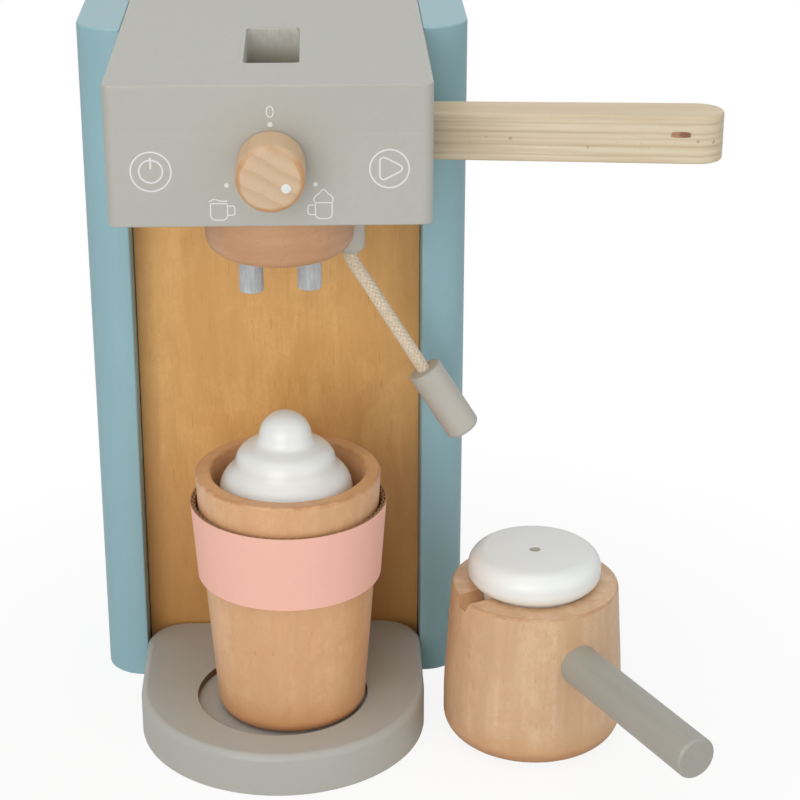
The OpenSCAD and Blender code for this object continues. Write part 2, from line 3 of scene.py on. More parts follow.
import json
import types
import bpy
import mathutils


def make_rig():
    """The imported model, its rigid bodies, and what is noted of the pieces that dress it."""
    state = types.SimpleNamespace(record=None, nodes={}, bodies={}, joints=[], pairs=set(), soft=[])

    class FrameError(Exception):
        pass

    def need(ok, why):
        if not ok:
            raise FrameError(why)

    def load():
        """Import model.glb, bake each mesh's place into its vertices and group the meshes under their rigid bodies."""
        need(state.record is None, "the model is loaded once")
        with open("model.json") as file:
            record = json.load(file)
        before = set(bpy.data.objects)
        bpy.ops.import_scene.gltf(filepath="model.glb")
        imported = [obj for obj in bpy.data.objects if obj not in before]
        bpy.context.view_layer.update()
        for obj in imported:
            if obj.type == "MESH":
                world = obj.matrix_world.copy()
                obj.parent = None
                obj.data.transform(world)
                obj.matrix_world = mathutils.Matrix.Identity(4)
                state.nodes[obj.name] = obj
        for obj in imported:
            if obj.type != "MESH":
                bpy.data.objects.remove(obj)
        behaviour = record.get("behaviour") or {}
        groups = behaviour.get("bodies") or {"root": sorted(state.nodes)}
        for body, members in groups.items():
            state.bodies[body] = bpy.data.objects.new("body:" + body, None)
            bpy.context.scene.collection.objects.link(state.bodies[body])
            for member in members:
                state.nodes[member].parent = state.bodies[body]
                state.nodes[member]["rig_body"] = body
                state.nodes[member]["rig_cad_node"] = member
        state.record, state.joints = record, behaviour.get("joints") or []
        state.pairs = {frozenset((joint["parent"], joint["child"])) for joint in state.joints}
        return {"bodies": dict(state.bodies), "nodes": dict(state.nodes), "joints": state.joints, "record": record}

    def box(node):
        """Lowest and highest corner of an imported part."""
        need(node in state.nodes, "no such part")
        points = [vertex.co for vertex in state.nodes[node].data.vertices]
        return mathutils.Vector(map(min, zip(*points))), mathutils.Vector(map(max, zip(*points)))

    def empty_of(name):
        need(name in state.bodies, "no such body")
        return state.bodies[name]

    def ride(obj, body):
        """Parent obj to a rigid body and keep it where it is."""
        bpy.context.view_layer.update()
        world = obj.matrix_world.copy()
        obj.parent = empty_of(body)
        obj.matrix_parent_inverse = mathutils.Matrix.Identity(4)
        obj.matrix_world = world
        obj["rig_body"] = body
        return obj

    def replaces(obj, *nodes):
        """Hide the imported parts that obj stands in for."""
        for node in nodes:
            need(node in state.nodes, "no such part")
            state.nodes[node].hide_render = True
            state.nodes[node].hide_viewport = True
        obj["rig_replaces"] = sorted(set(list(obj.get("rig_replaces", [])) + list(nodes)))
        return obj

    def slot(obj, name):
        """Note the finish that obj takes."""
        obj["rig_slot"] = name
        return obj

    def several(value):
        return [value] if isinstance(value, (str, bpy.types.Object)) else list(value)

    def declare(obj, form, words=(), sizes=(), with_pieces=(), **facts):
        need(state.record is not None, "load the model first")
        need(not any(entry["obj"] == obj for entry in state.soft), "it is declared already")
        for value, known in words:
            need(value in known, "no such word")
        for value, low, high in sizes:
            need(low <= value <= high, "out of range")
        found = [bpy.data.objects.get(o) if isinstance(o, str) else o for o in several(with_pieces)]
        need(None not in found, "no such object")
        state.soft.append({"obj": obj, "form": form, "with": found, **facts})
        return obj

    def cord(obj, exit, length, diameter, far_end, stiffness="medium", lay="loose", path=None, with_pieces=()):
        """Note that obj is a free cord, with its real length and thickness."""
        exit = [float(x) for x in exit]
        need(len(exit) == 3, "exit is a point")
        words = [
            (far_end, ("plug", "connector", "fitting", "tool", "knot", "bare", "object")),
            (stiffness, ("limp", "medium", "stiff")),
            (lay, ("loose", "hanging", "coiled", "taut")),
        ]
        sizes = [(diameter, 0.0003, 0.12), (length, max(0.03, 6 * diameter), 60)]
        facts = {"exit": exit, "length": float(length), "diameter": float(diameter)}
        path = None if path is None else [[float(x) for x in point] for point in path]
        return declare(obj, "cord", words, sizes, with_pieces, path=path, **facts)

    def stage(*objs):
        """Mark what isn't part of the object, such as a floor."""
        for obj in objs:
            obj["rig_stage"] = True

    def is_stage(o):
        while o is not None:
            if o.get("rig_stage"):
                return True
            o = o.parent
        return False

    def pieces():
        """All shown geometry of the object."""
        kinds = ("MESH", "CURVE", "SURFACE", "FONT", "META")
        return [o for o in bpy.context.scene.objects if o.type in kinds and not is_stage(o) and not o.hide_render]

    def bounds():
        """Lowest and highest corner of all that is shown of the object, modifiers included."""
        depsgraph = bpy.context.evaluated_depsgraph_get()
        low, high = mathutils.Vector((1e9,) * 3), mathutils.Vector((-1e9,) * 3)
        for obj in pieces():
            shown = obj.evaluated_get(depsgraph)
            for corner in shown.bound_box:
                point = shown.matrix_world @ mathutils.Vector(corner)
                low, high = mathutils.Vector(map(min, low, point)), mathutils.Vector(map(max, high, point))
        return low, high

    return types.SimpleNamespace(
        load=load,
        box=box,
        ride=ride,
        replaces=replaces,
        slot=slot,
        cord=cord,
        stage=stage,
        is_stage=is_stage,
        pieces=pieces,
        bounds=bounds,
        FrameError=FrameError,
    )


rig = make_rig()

bl_info = {
    "name": "Wooden toy coffee maker",
    "version": (1, 0, 0),
    "blender": (4, 5, 0),
    "location": "View3D > Sidebar > Toy",
    "description": "Builds the boards, turned wood, card sleeve and rope wand on the packed frame",
    "category": "Add Mesh",
}

import json
import math

import bmesh
import bpy
from bpy.props import FloatProperty, FloatVectorProperty, IntProperty, PointerProperty
from mathutils import Euler, Matrix, Vector

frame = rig.load()
CAD_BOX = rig.bounds()
TAU = 2 * math.pi
MM = 1000.0  # millimetres in a metre: shapes are drawn in millimetres, shaders read metres
# Turns a drawing's X, Y and Z to Y, Z and X
UPRIGHT = Matrix(((0, 0, 1, 0), (1, 0, 0, 0), (0, 1, 0, 0), (0, 0, 0, 1)))
FORWARD = Matrix.Rotation(math.pi / 2, 4, "X")  # turns up to the front
HANDLE_TURN = math.radians(-63.6)
NOTCH_TURN = math.radians(206.5)
WHITE = (1, 1, 1, 1)


class Place:
    """A CAD node's box in millimetres. It unpacks into its lowest and highest corner."""

    def __init__(self, node):
        low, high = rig.box(node)
        self.low, self.high = low * MM, high * MM
        self.mid = (self.low + self.high) / 2
        self.tall = self.high.z - self.low.z
        self.radius = (self.high.x - self.low.x) / 2
        self.axis = Vector((self.mid.x, self.mid.y, 0))

    def __iter__(self):
        return iter((self.low, self.high))


# ---- Sizes and colours that a user would change ----


def colour(name, red, green, blue):
    """A colour property, written in the 0 to 255 of a paint chart."""
    return FloatVectorProperty(
        name=name, description=f"Colour of the {name.lower()}", subtype="COLOR_GAMMA",
        min=0, max=1, default=(red / 255, green / 255, blue / 255),
    )


def length(name, value, what):
    """A length property, written in millimetres and kept in metres."""
    return FloatProperty(
        name=name, description=what, default=value / MM, min=0.0, precision=5, unit="LENGTH"
    )


def number(name, value, least, what):
    """A whole number property."""
    return IntProperty(name=name, description=what, default=value, min=least)


class ToyPaints(bpy.types.PropertyGroup):
    """Colours of the paints, woods, card and rope."""

    blue: colour("Blue paint", 146, 184, 193)
    grey: colour("Grey paint", 180, 179, 171)
    dowel: colour("Grey dowel paint", 192, 188, 178)
    white: colour("White paint", 246, 248, 245)
    silver: colour("Silver grey stain", 191, 196, 198)
    handle: colour("Handle paint", 166, 164, 154)
    mark: colour("Printed marks", 226, 228, 226)
    knob: colour("Knob beech", 203, 179, 150)
    cup: colour("Cup beech", 228, 181, 137)
    jug: colour("Jug beech", 226, 193, 158)
    block: colour("Outlet beech", 204, 157, 119)
    panel: colour("Panel veneer", 232, 186, 122)
    birch: colour("Birch plywood", 224, 210, 184)
    pink: colour("Pink card", 246, 190, 172)
    brown: colour("Brown card", 176, 138, 102)
    cotton: colour("Cotton rope", 238, 223, 200)


class ToySizes(bpy.types.PropertyGroup):
    """Edges and fine details of the pieces."""

    board_edge: length("Board edge", 0.8, "Rounding along the boards' edges")
    base_edge: length("Base edge", 3.0, "Rounding along the base plate's top edge")
    post_round: length("Post rounding", 16.0, "Radius on the posts' front outer edge")
    mark_stroke: length("Mark stroke", 0.54, "Width of the printed lines")
    braid_pitch: length("Braid pitch", 17.0, "Length of one turn of a rope strand")
    strands: number("Strands", 8, 4, "Rope strands each way round")
    flutes: number("Flutes", 68, 20, "Waves round the sleeve's liner")
    turned_steps: number("Turned steps", 128, 24, "Facets round a turned piece")


def paints():
    return bpy.context.scene.toy_paints


def sizes():
    return bpy.context.scene.toy_sizes


def size(key):
    """One of the lengths, in millimetres."""
    return getattr(sizes(), key) * MM


# ---- Shader building ----


def added(operation, reflected=False):
    """An operator of Link: it adds a Math node, with the link last in a reflected form."""

    def method(self, *others):
        values = (*others, self) if reflected else (self, *others)
        inputs = dict(enumerate(values))
        return self.surface.node("ShaderNodeMath", {"operation": operation}, inputs)

    return method


class Link:
    """One shader socket. Python's operators on it add Math nodes."""

    def __init__(self, surface, socket):
        self.surface = surface
        self.socket = socket

    __add__ = __radd__ = added("ADD")
    __sub__ = added("SUBTRACT")
    __rsub__ = added("SUBTRACT", reflected=True)
    __mul__ = __rmul__ = added("MULTIPLY")
    __truediv__ = added("DIVIDE")
    __pow__ = added("POWER")
    sine = added("SINE")
    fraction = added("FRACT")
    size = added("ABSOLUTE")
    least = added("MINIMUM")
    most = added("MAXIMUM")

    def step(self, low, high):
        """0 below low, 1 above high, smooth between."""
        return self.surface.node(
            "ShaderNodeMapRange",
            {"interpolation_type": "SMOOTHSTEP"},
            {"Value": self, "From Min": low, "From Max": high},
        )


# Short words for the Principled shader's sockets that a finish sets
SOCKETS = {
    "specular": "Specular IOR Level",
    "coat": "Coat Weight",
    "coat_rough": "Coat Roughness",
    "sheen": "Sheen Weight",
    "sheen_rough": "Sheen Roughness",
}


def light(tone, red=1.0, green=None, blue=None):
    """A chart colour as the shader's linear colour, scaled as a whole or channel by channel."""
    scales = (red, green, blue) if blue is not None else (red,) * 3
    straight = (v / 12.92 if v <= 0.04045 else ((v + 0.055) / 1.055) ** 2.4 for v in tone)
    return (*(value * scale for value, scale in zip(straight, scales)), 1.0)


class Surface:
    """The nodes of a material, or of the world, in the making."""

    def __init__(self, owner):
        self.owner = owner
        owner.use_nodes = True
        self.tree = owner.node_tree
        self.tree.nodes.clear()

    def node(self, kind, settings=None, inputs=None, output=0):
        """Adds a node: its settings first, then its sockets. Returns one of its outputs."""
        made = self.tree.nodes.new(kind)
        for key, value in (settings or {}).items():
            if key == "stops":
                ramp = made.color_ramp
                while len(ramp.elements) < len(value):
                    ramp.elements.new(0.5)
                for element, (place, tone) in zip(ramp.elements, value):
                    element.position = place
                    element.color = (*tone, 1)
            else:
                setattr(made, key, value)
        for key, value in (inputs or {}).items():
            socket = made.inputs[key]
            if isinstance(value, Link):
                self.tree.links.new(value.socket, socket)
            else:
                socket.default_value = value
        return Link(self, made.outputs[output]) if made.outputs else None

    def point(self, offset=(0, 0, 0), turn=(0, 0, 0)):
        """Object coordinates, turned and moved."""
        here = self.node("ShaderNodeTexCoord", output=3)
        return self.node(
            "ShaderNodeMapping",
            {"vector_type": "POINT"},
            {"Vector": here, "Location": offset, "Rotation": turn},
        )

    def axes(self, point):
        """The three parts of a point."""
        outputs = self.node("ShaderNodeSeparateXYZ", inputs={0: point}).socket.node.outputs
        return [Link(self, outputs[i]) for i in range(3)]

    def join(self, x, y, z):
        return self.node("ShaderNodeCombineXYZ", inputs={0: x, 1: y, 2: z})

    def noise(self, point, scale, detail=3.0, rough=0.5, bend=0.0, stretch=None):
        """Noise about 0.5. An axis whose stretch is under 1 draws the pattern out."""
        if stretch:
            point = self.node(
                "ShaderNodeVectorMath", {"operation": "MULTIPLY"}, {0: point, 1: stretch}
            )
        keys = ("Vector", "Scale", "Detail", "Roughness", "Distortion")
        return self.node(
            "ShaderNodeTexNoise", inputs=dict(zip(keys, (point, scale, detail, rough, bend)))
        )

    def grains(self, point, *rows):
        """A noise for each row of stretch, scale, detail, roughness and perhaps distortion.

        A stretch that is one number is along Z."""
        out = []
        for stretch, *row in rows:
            axes = (1, 1, stretch) if isinstance(stretch, float) else stretch
            out.append(self.noise(point, *row, stretch=axes))
        return out

    def blend(self, share, first, second):
        """Mixes two colours."""
        inputs = {0: share, 6: first, 7: second}
        return self.node("ShaderNodeMix", {"data_type": "RGBA"}, inputs, output=2)

    def layers(self, tone, base, *rows):
        """Lays tints over each other: base scales the tone, and so does each row after its share.

        A row may give a finished tint instead."""
        tint = light(tone, *base)
        for share, *over in rows:
            over = over[0] if isinstance(over[0], Link) else light(tone, *over)
            tint = self.blend(share, tint, over)
        return tint

    def edge(self):
        """1 along the piece's edges, 0 on its flats: how far a bevel would turn the normal."""
        turned = self.node("ShaderNodeBevel", {"samples": 4}, {"Radius": 0.0012})
        flat = self.node("ShaderNodeNewGeometry", output="Normal")
        near = self.node(
            "ShaderNodeVectorMath", {"operation": "DOT_PRODUCT"}, {0: turned, 1: flat}, "Value"
        )
        return (1 - near).step(0.01, 0.14)

    def finish(self, tint, rough, height, depth, strength, **fixed):
        """Ends the material with a Principled shader that a height bumps by a depth in metres."""
        bump = {"Height": height, "Distance": depth, "Strength": strength}
        inputs = {SOCKETS[key]: value for key, value in fixed.items()}
        inputs.update({"Base Color": tint, "Roughness": rough})
        inputs["Normal"] = self.node("ShaderNodeBump", inputs=bump)
        self.out("Material", self.node("ShaderNodeBsdfPrincipled", inputs=inputs))
        return self.owner

    def out(self, kind, shader):
        self.node(f"ShaderNodeOutput{kind}", inputs={"Surface": shader})


MATERIALS = {}


def material(name, maker, *values, **named):
    """One material per name, made when it is first asked for."""
    if name not in MATERIALS:
        MATERIALS[name] = maker(Surface(bpy.data.materials.new(name)), *values, **named)
    return MATERIALS[name]


# ---- Finishes: each draws on the surface s, from a chart colour ----


def paint(s, tone, streak=(1, 1, 1), mottle=0.022):
    """Satin paint on wood: a little mottled, with a fine roller texture and a painted highlight along its edges."""
    here = s.point()
    cloud, fine = s.grains(here, (streak, 14.0, 3.0, 0.55), (streak, 420.0, 2.0, 0.5))
    # Painted highlight: the edges are drawn lighter, and a little glossier.
    edge_highlight = s.edge() * cloud.step(0.3, 0.6)
    tint = s.layers(
        tone, (1 - mottle,),
        (cloud.step(0.3, 0.7), 1 + mottle),
        (fine.step(0.35, 0.75) * 0.35, 1 - 2.2 * mottle),
        (edge_highlight * 0.35, 1.16, 1.12, 1.06),
    )
    peel = s.noise(here, 900.0, 2.0) + fine * 0.8
    gloss = 0.42 + (cloud - 0.5) * 0.16 + (fine - 0.5) * 0.08 - edge_highlight * 0.08
    return s.finish(tint, gloss, peel, 0.00003, 0.35, coat=0.105, coat_rough=0.35, specular=0.4)


def timber(
    s, tone, turn=(0, 0, 0), pith=(0.05, 0.03, 0), ring=0.0032, wander=0.0025,
    late=0.4, bands=0.16, flecks=0.55, mottle=0.15, foot=None, rims=(),
):
    """Solid wood with its fibre along the turned Z: growth rings, fibres, flecks and soft bands.

    ring is the growth rings' width, and late the share of their dark part. foot is the height up
    to which the wood is drawn darker as painted shade, where the turning curves under. rims are its
    edges, burnished darker, each as centre x, centre y, radius and height."""
    here = s.point(pith, turn)
    x, y, z = s.axes(here)
    drift, fibre, wide, strip, soft, speck, fleck, pore, clump = s.grains(
        here,
        (0.12, 26.0, 3.0, 0.5),
        (0.05, 1500.0, 3.0, 0.6),
        (0.05, 70.0, 3.0, 0.55),
        (0.03, 210.0, 2.0, 0.5),
        (0.7, 45.0, 2.0, 0.5),
        (0.4, 1900.0, 2.0, 0.6),
        (0.2, 1300.0, 0.0, 0.4),
        (0.1, 3200.0, 1.0, 0.4),
        (0.8, 190.0, 4.0, 0.65),
    )
    grow = (((x * x + y * y) ** 0.5 + drift * wander * 4) / ring).fraction()
    dense = grow.step(0.35, 0.9) * (1 - grow.step(0.93, 1.0))
    fleck, pore = fleck.step(0.76, 0.82), pore.step(0.66, 0.8)
    rows = [
        (wide.step(0.36, 0.62), 0.97 - bands, 0.95 - bands * 1.25, 0.92 - bands * 1.5),
        (strip.step(0.42, 0.6) * bands * 2.2, 1.12, 1.12, 1.08),
        (soft.step(0.35, 0.7) * 0.4, 1.04, 0.98, 0.9),
        (clump.step(0.4, 0.6) * mottle, 0.88, 0.77, 0.66),
        (dense * late, 0.86, 0.76, 0.64),
        (fibre.step(0.35, 0.75) * 0.16, 0.82, 0.72, 0.62),
        (speck.step(0.5, 0.72) * 0.42, 0.84, 0.75, 0.64),
        (fleck * flecks, 0.6, 0.42, 0.32),
        (pore * 0.16, 0.7, 0.56, 0.46),
    ]
    if foot:
        # Painted shade: darker towards the foot, where the turning curves under, and darker still in the lowest few
        # millimetres.
        shade_band = 1 - (z + (soft - 0.5) * 0.012).step(foot - 0.012, foot)
        under_shade = 1 - (z + (clump - 0.5) * 0.004).step(foot - 0.0135, foot - 0.0095)
        rows += [(shade_band * 0.6, 0.82, 0.62, 0.42), (under_shade * 0.55, 0.6, 0.4, 0.26)]
    for centre_x, centre_y, radius, high in rims:
        px, py, pz = s.axes(s.point((-centre_x, -centre_y, -high)))
        off = (px * px + py * py) ** 0.5 - radius
        near = 1 - ((off * off + pz * pz) ** 0.5 + (soft - 0.5) * 0.0012).step(0.0004, 0.0013)
        rows.append((near * (strip.step(0.35, 0.6) * 0.45 + 0.2), 0.62, 0.4, 0.26))
    tint = s.layers(tone, (1 + 0.5 * bands,), *rows)
    height = fibre * 0.6 - fleck * 0.5 - pore * 0.5 - dense * 0.2 + speck * 0.2
    gloss = 0.46 + (fibre - 0.5) * 0.18 + dense * 0.05
    return s.finish(tint, gloss, height, 0.00005, 0.5, specular=0.45, coat=0.3, coat_rough=0.32)


def veneer(s, tone):
    """Rotary-cut plywood face with an upright grain: blotches, streaks, pores, and painted shade at its foot and along
    its sides by the posts.
    """
    here = s.point()
    x, y, z = s.axes(here)
    bend, blotch, cloud, pore, mottle, grit = s.grains(
        here,
        (0.35, 16.0, 2.0, 0.5),
        (0.45, 60.0, 4.0, 0.62, 0.6),
        (0.6, 20.0, 3.0, 0.55),
        (0.05, 1500.0, 1.0, 0.3),
        (0.6, 240.0, 4.0, 0.65, 0.3),
        (0.7, 1700.0, 2.0, 0.6),
    )
    figure, fibre, streak = s.grains(
        s.join(x + (bend - 0.5) * 0.03, y, z),
        (0.14, 55.0, 4.0, 0.6, 0.4),
        (0.02, 1400.0, 3.0, 0.6),
        (0.03, 260.0, 3.0, 0.55),
    )
    pore = pore.step(0.7, 0.76)
    # Painted shade: darker towards the panel's foot, below the cup, and along its sides next to the posts.
    foot = 1 - (z + (cloud - 0.5) * 0.08).step(0.02, 0.11)
    sides = (x.size() + (cloud - 0.5) * 0.02).step(0.046, 0.062)
    tint = s.layers(
        tone, (1.08, 1.04, 0.96),
        (figure.step(0.3, 0.72), 0.9, 0.77, 0.6),
        (blotch.step(0.44, 0.6) * 0.7, 1.12, 1.1, 1.04),
        (mottle.step(0.4, 0.65) * 0.4, 0.9, 0.8, 0.64),
        (cloud.step(0.35, 0.7) * 0.4, 0.95, 0.86, 0.72),
        (foot.most(sides) * 0.62, 0.72, 0.6, 0.44),
        (foot * 0.4, 0.56, 0.42, 0.3),
        (grit.step(0.45, 0.7) * 0.2, 0.76, 0.64, 0.46),
        (streak.step(0.4, 0.75) * 0.25, 0.82, 0.7, 0.52),
        (fibre.step(0.4, 0.75) * 0.18, 0.78, 0.66, 0.5),
        (pore * 0.4, 0.62, 0.48, 0.34),
    )
    height = fibre * 0.7 - pore * 0.6 + streak * 0.3
    return s.finish(tint, 0.4 + (fibre - 0.5) * 0.2, height, 0.00004, 0.4, specular=0.4)


# How dark the plywood's sawn edge is from its lower side (0) to its upper side (1)
PLIES = (
    (0.0, 0.7), (0.035, 0.15), (0.13, 0.08), (0.158, 0.75), (0.195, 0.12), (0.33, 0.04),
    (0.365, 0.95), (0.4, 0.3), (0.45, 0.1), (0.515, 0.55), (0.55, 0.15), (0.6, 0.2),
    (0.632, 0.85), (0.67, 0.3), (0.72, 0.05), (0.8, 0.12), (0.826, 0.7), (0.86, 0.12),
    (0.94, 0.05), (0.975, 0.45), (1.0, 0.1),
)
# The knot near the lever's grip end: its X, its height above the lower side, and half its size
KNOT_X, KNOT_UP, KNOT_LONG, KNOT_TALL = 0.1527, 0.0115, 0.0041, 0.0013


def plies(s, tone, low, high):
    """Plywood: straight face grain along X, and layers by height on the sawn edges."""
    here = s.point()
    x, _, z = s.axes(here)
    normal = s.axes(s.node("ShaderNodeNewGeometry", output="Normal"))
    face = normal[2].size().step(0.75, 0.95)
    bend, fibre, wide, wobble, end, along, streak, speck = s.grains(
        here,
        ((0.3, 1, 1), 30.0, 2.0, 0.5),
        ((0.03, 1, 1), 1500.0, 3.0, 0.6),
        ((0.06, 1, 1), 110.0, 3.0, 0.55),
        ((0.4, 0.2, 0.2), 45.0, 2.0, 0.5),
        ((1, 1, 0.5), 1700.0, 2.0, 0.6),
        ((0.04, 0.3, 1), 1300.0, 3.0, 0.6),
        ((0.02, 0.2, 1), 560.0, 3.0, 0.6),
        ((0.8, 1, 0.5), 620.0, 2.0, 0.6),
    )
    layer = (z - low) / (high - low) + (wobble - 0.5) * 0.05 + (along - 0.5) * 0.03
    stops = [(place, (dark,) * 3) for place, dark in PLIES]
    glue = s.node("ShaderNodeValToRGB", {"stops": stops}, {0: layer})
    band = layer.step(0.28, 0.34) * (1 - layer.step(0.5, 0.56))
    across = ((x - KNOT_X) / KNOT_LONG).size() ** 3
    up = ((z - (low + KNOT_UP)) / KNOT_TALL).size() ** 3
    knot = 1 - ((across + up) ** 0.333 + (along - 0.5) * 0.35).step(0.82, 1.0)
    core = (x + (along - 0.5) * 0.002).step(0.1515, 0.153)
    top = s.layers(
        tone, (1.0, 0.95, 0.9),
        (wide.step(0.3, 0.7), 0.94, 0.86, 0.77),
        (fibre.step(0.4, 0.75) * 0.3, 0.84, 0.72, 0.6),
    )
    seam = s.layers(tone, (0.74, 0.64, 0.5), (wobble.step(0.3, 0.7), 0.66, 0.54, 0.42))
    edge = s.layers(
        tone, (1.0,),
        (streak.step(0.4, 0.7), 0.88, 0.83, 0.75),
        (glue * 0.75, seam),
        (along.step(0.45, 0.75) * 0.3, 0.8, 0.7, 0.56),
        (end.step(0.5, 0.78) * 0.2, 0.8, 0.68, 0.54),
        (speck.step(0.66, 0.72) * band * 0.6, 0.5, 0.36, 0.22),
        (knot * 0.9, s.layers(tone, (0.5, 0.3, 0.18), (core, 0.27, 0.1, 0.06))),
    )
    height = fibre * 0.5 + (1 - face) * (along * 0.4 - glue * 0.7)
    gloss = 0.45 + (fibre - 0.5) * 0.2 + (bend - 0.5) * 0.05
    return s.finish(s.blend(face, edge, top), gloss, height, 0.00006, 0.5, specular=0.4)


def knob_wood(s, tone, centre, radius):
    """End grain in slanting lines on the knob's face, and a darker orange-brown ring on its rounded rim, with painted
    shade on its lower side.
    """
    here = s.point((-centre.x, 0, -centre.z))
    x, y, z = s.axes(here)
    wander, soft, pore = s.grains(
        here,
        ((1, 0.1, 1), 90.0, 3.0, 0.5),
        ((1, 0.1, 1), 130.0, 2.0, 0.5),
        ((1, 0.08, 1), 2600.0, 1.0, 0.4),
    )
    fine = s.noise(s.join(x * 0.5 + z * 0.9, y * 0.06, z * 0.5 - x), 1100.0, 3.0, 0.6)
    # Growth lines 5.6 mm apart, turned by 30 degrees
    grow = ((x * 0.5 + z * 0.866 + (wander - 0.5) * 0.0032) / 0.0056).fraction()
    late = grow.step(0.3, 0.85) * (1 - grow.step(0.9, 1.0))
    pore = pore.step(0.64, 0.78)
    out = (x * x + z * z) ** 0.5
    rim = (out + (soft - 0.5) * 0.0022).step(radius * 0.83, radius * 0.9)
    side = out.step(radius * 0.97, radius * 0.995)
    # Painted shade: the rim's dark ring is drawn stronger on the knob's lower side.
    lower = 1 - (z + x.size() * -0.4).step(radius * -0.2, radius * 0.55)
    shade_band = rim * (1 - side) * (lower * 0.7 + soft.step(0.4, 0.6) * 0.35).least(0.85)
    tint = s.layers(
        tone, (1.06, 1.04, 1.02),
        (fine.step(0.3, 0.75) * 0.35, 0.9, 0.82, 0.74),
        (soft.step(0.35, 0.65) * 0.5, 1.14, 1.06, 1.0),
        (late * 0.42, 0.84, 0.7, 0.56),
        (shade_band, 0.9, 0.62, 0.37),
        (side * 0.6, 1.1, 0.99, 0.84),
        (pore * 0.2, 0.62, 0.46, 0.34),
    )
    height = fine - pore * 0.5 - late * 0.4
    return s.finish(tint, 0.45 + fine * 0.12, height, 0.00005, 0.5, specular=0.4)


def slot_paint(s, tone):
    """Paint on the slot's milled walls, rough, drawn lighter than the head's grey as painted light, and dark brown
    towards the bottom.
    """
    here = s.point()
    mill = s.noise(here, 420.0, 4.0, 0.65, stretch=(1.6, 1.6, 0.7))
    # The walls turn dark brown towards the bottom of the slot.
    bare = 1 - (s.axes(here)[2] + (mill - 0.5) * 0.006).step(0.265, 0.277)
    # Painted light: the walls are drawn 1.3 to 1.6 times lighter than the grey paint.
    tint = s.layers(tone, (1.6,), (mill.step(0.3, 0.75), 1.3))
    tint = s.blend(bare * 0.7, tint, (0.24, 0.18, 0.12, 1))
    return s.finish(tint, 0.6 + mill * 0.2, mill, 0.0004, 0.8)


def handle_paint(s, tone):
    """Satin paint on a long dowel, with streaks along it."""
    along = s.point(turn=(0, 0, -HANDLE_TURN))
    streak = s.noise(along, 420.0, 3.0, 0.6, stretch=(0.05, 1, 1))
    cloud = s.noise(s.point(), 40.0, 2.0)
    tint = s.layers(
        tone, (1.02,), (streak.step(0.3, 0.75), 0.95), (cloud.step(0.35, 0.7) * 0.3, 1.03)
    )
    gloss = 0.38 + streak * 0.12
    return s.finish(tint, gloss, streak, 0.00004, 0.4, coat=0.12, coat_rough=0.3)


def stain(s, tone):
    """Thin grey stain over an upright dowel, with the wood's fibres showing through."""
    fibre, cloud = s.grains(s.point(), (0.14, 1500.0, 3.0, 0.65), (0.3, 420.0, 2.0, 0.5))
    tint = s.layers(
        tone, (0.86,),
        (cloud.step(0.3, 0.7), 1.14),
        (fibre.step(0.35, 0.7) * 0.55, 0.62),
        (fibre.step(0.62, 0.8) * 0.5, 1.5),
    )
    return s.finish(tint, 0.4 + fibre * 0.2, fibre, 0.00006, 0.6, specular=0.5)


def card(s, tone, grain=0.12, rough=0.9):
    """Matt card with short paper fibres."""
    here = s.point()
    fibre = s.noise(here, 1600.0, 4.0, 0.7)
    cloud = s.noise(here, 60.0)
    tint = s.layers(
        tone, (1 + grain,),
        (fibre.step(0.3, 0.75), 1 - grain),
        (cloud.step(0.3, 0.75) * 0.5, 0.985, 0.965, 0.96),
    )
    return s.finish(tint, rough + (fibre - 0.5) * 0.12, fibre, 0.00003, 0.4)


def cord_cloth(s, tone):
    """Cotton yarn: each strand has its own yarns, read from the strand's attributes."""
    across, along = (
        s.node("ShaderNodeAttribute", {"attribute_name": name}, output="Fac")
        for name in ("across", "along")
    )
    yarn = ((across * 2.1 + along * 0.55) * TAU).sine() * 0.5 + 0.5
    fuzz = s.noise(s.point(), 2600.0, 3.0, 0.7)
    # Painted shade: the grooves between the yarns are drawn darker.
    tint = s.blend(yarn.step(0.05, 0.6), light(tone, 0.88, 0.84, 0.78), light(tone, 1.04))
    tint = s.blend(fuzz.step(0.35, 0.75) * 0.15, tint, light(tone, 0.88, 0.83, 0.76))
    return s.finish(
        tint, 0.88 + fuzz * 0.06, yarn + fuzz * 0.5, 0.00012, 0.7,
        specular=0.25, sheen=0.2, sheen_rough=0.5,
    )


def gloss_white(s, tone):
    """Thick white lacquer over turned wood, with faint lathe rings."""
    here = s.point()
    cloud = s.noise(here, 30.0)
    turned = s.noise(here, 260.0, 2.0, stretch=(0.15, 0.15, 3))
    tint = s.layers(tone, (0.97,), (cloud.step(0.3, 0.7), 1.0))
    wave = turned * 0.7 + s.noise(here, 700.0, 2.0) * 0.4
    gloss = 0.3 + (cloud - 0.5) * 0.12
    return s.finish(tint, gloss, wave, 0.00003, 0.35, coat=0.25, coat_rough=0.2, specular=0.45)


def ink(s, tone):
    """Screen-printed ink, with the board's texture just showing in it."""
    fine = s.noise(s.point(), 1800.0, 2.0, 0.6)
    tint = s.layers(tone, (1.0,), (fine.step(0.3, 0.8) * 0.5, 0.9))
    return s.finish(tint, 0.5 + fine * 0.1, fine, 0.00002, 0.3)


def grey_paint():
    return material("grey paint", paint, paints().grey)


def lacquer():
    return material("white lacquer", gloss_white, paints().white)


def printed():
    return material("printed ink", ink, paints().mark)


# ---- Outlines ----


def rectangle(x0, x1, y0, y1, radii=(0, 0, 0, 0)):
    """A rectangle's corners, each with its rounding: the two at y0 first."""
    corners = ((x0, y0), (x1, y0), (x1, y1), (x0, y1))
    return [(*corner, radius) for corner, radius in zip(corners, radii)]


def ellipse(x, y, wide, tall, count=40):
    """Points round an ellipse, from its middle and its half sizes."""
    angles = (TAU * i / count for i in range(count))
    return [(x + wide * math.cos(a), y + tall * math.sin(a)) for a in angles]


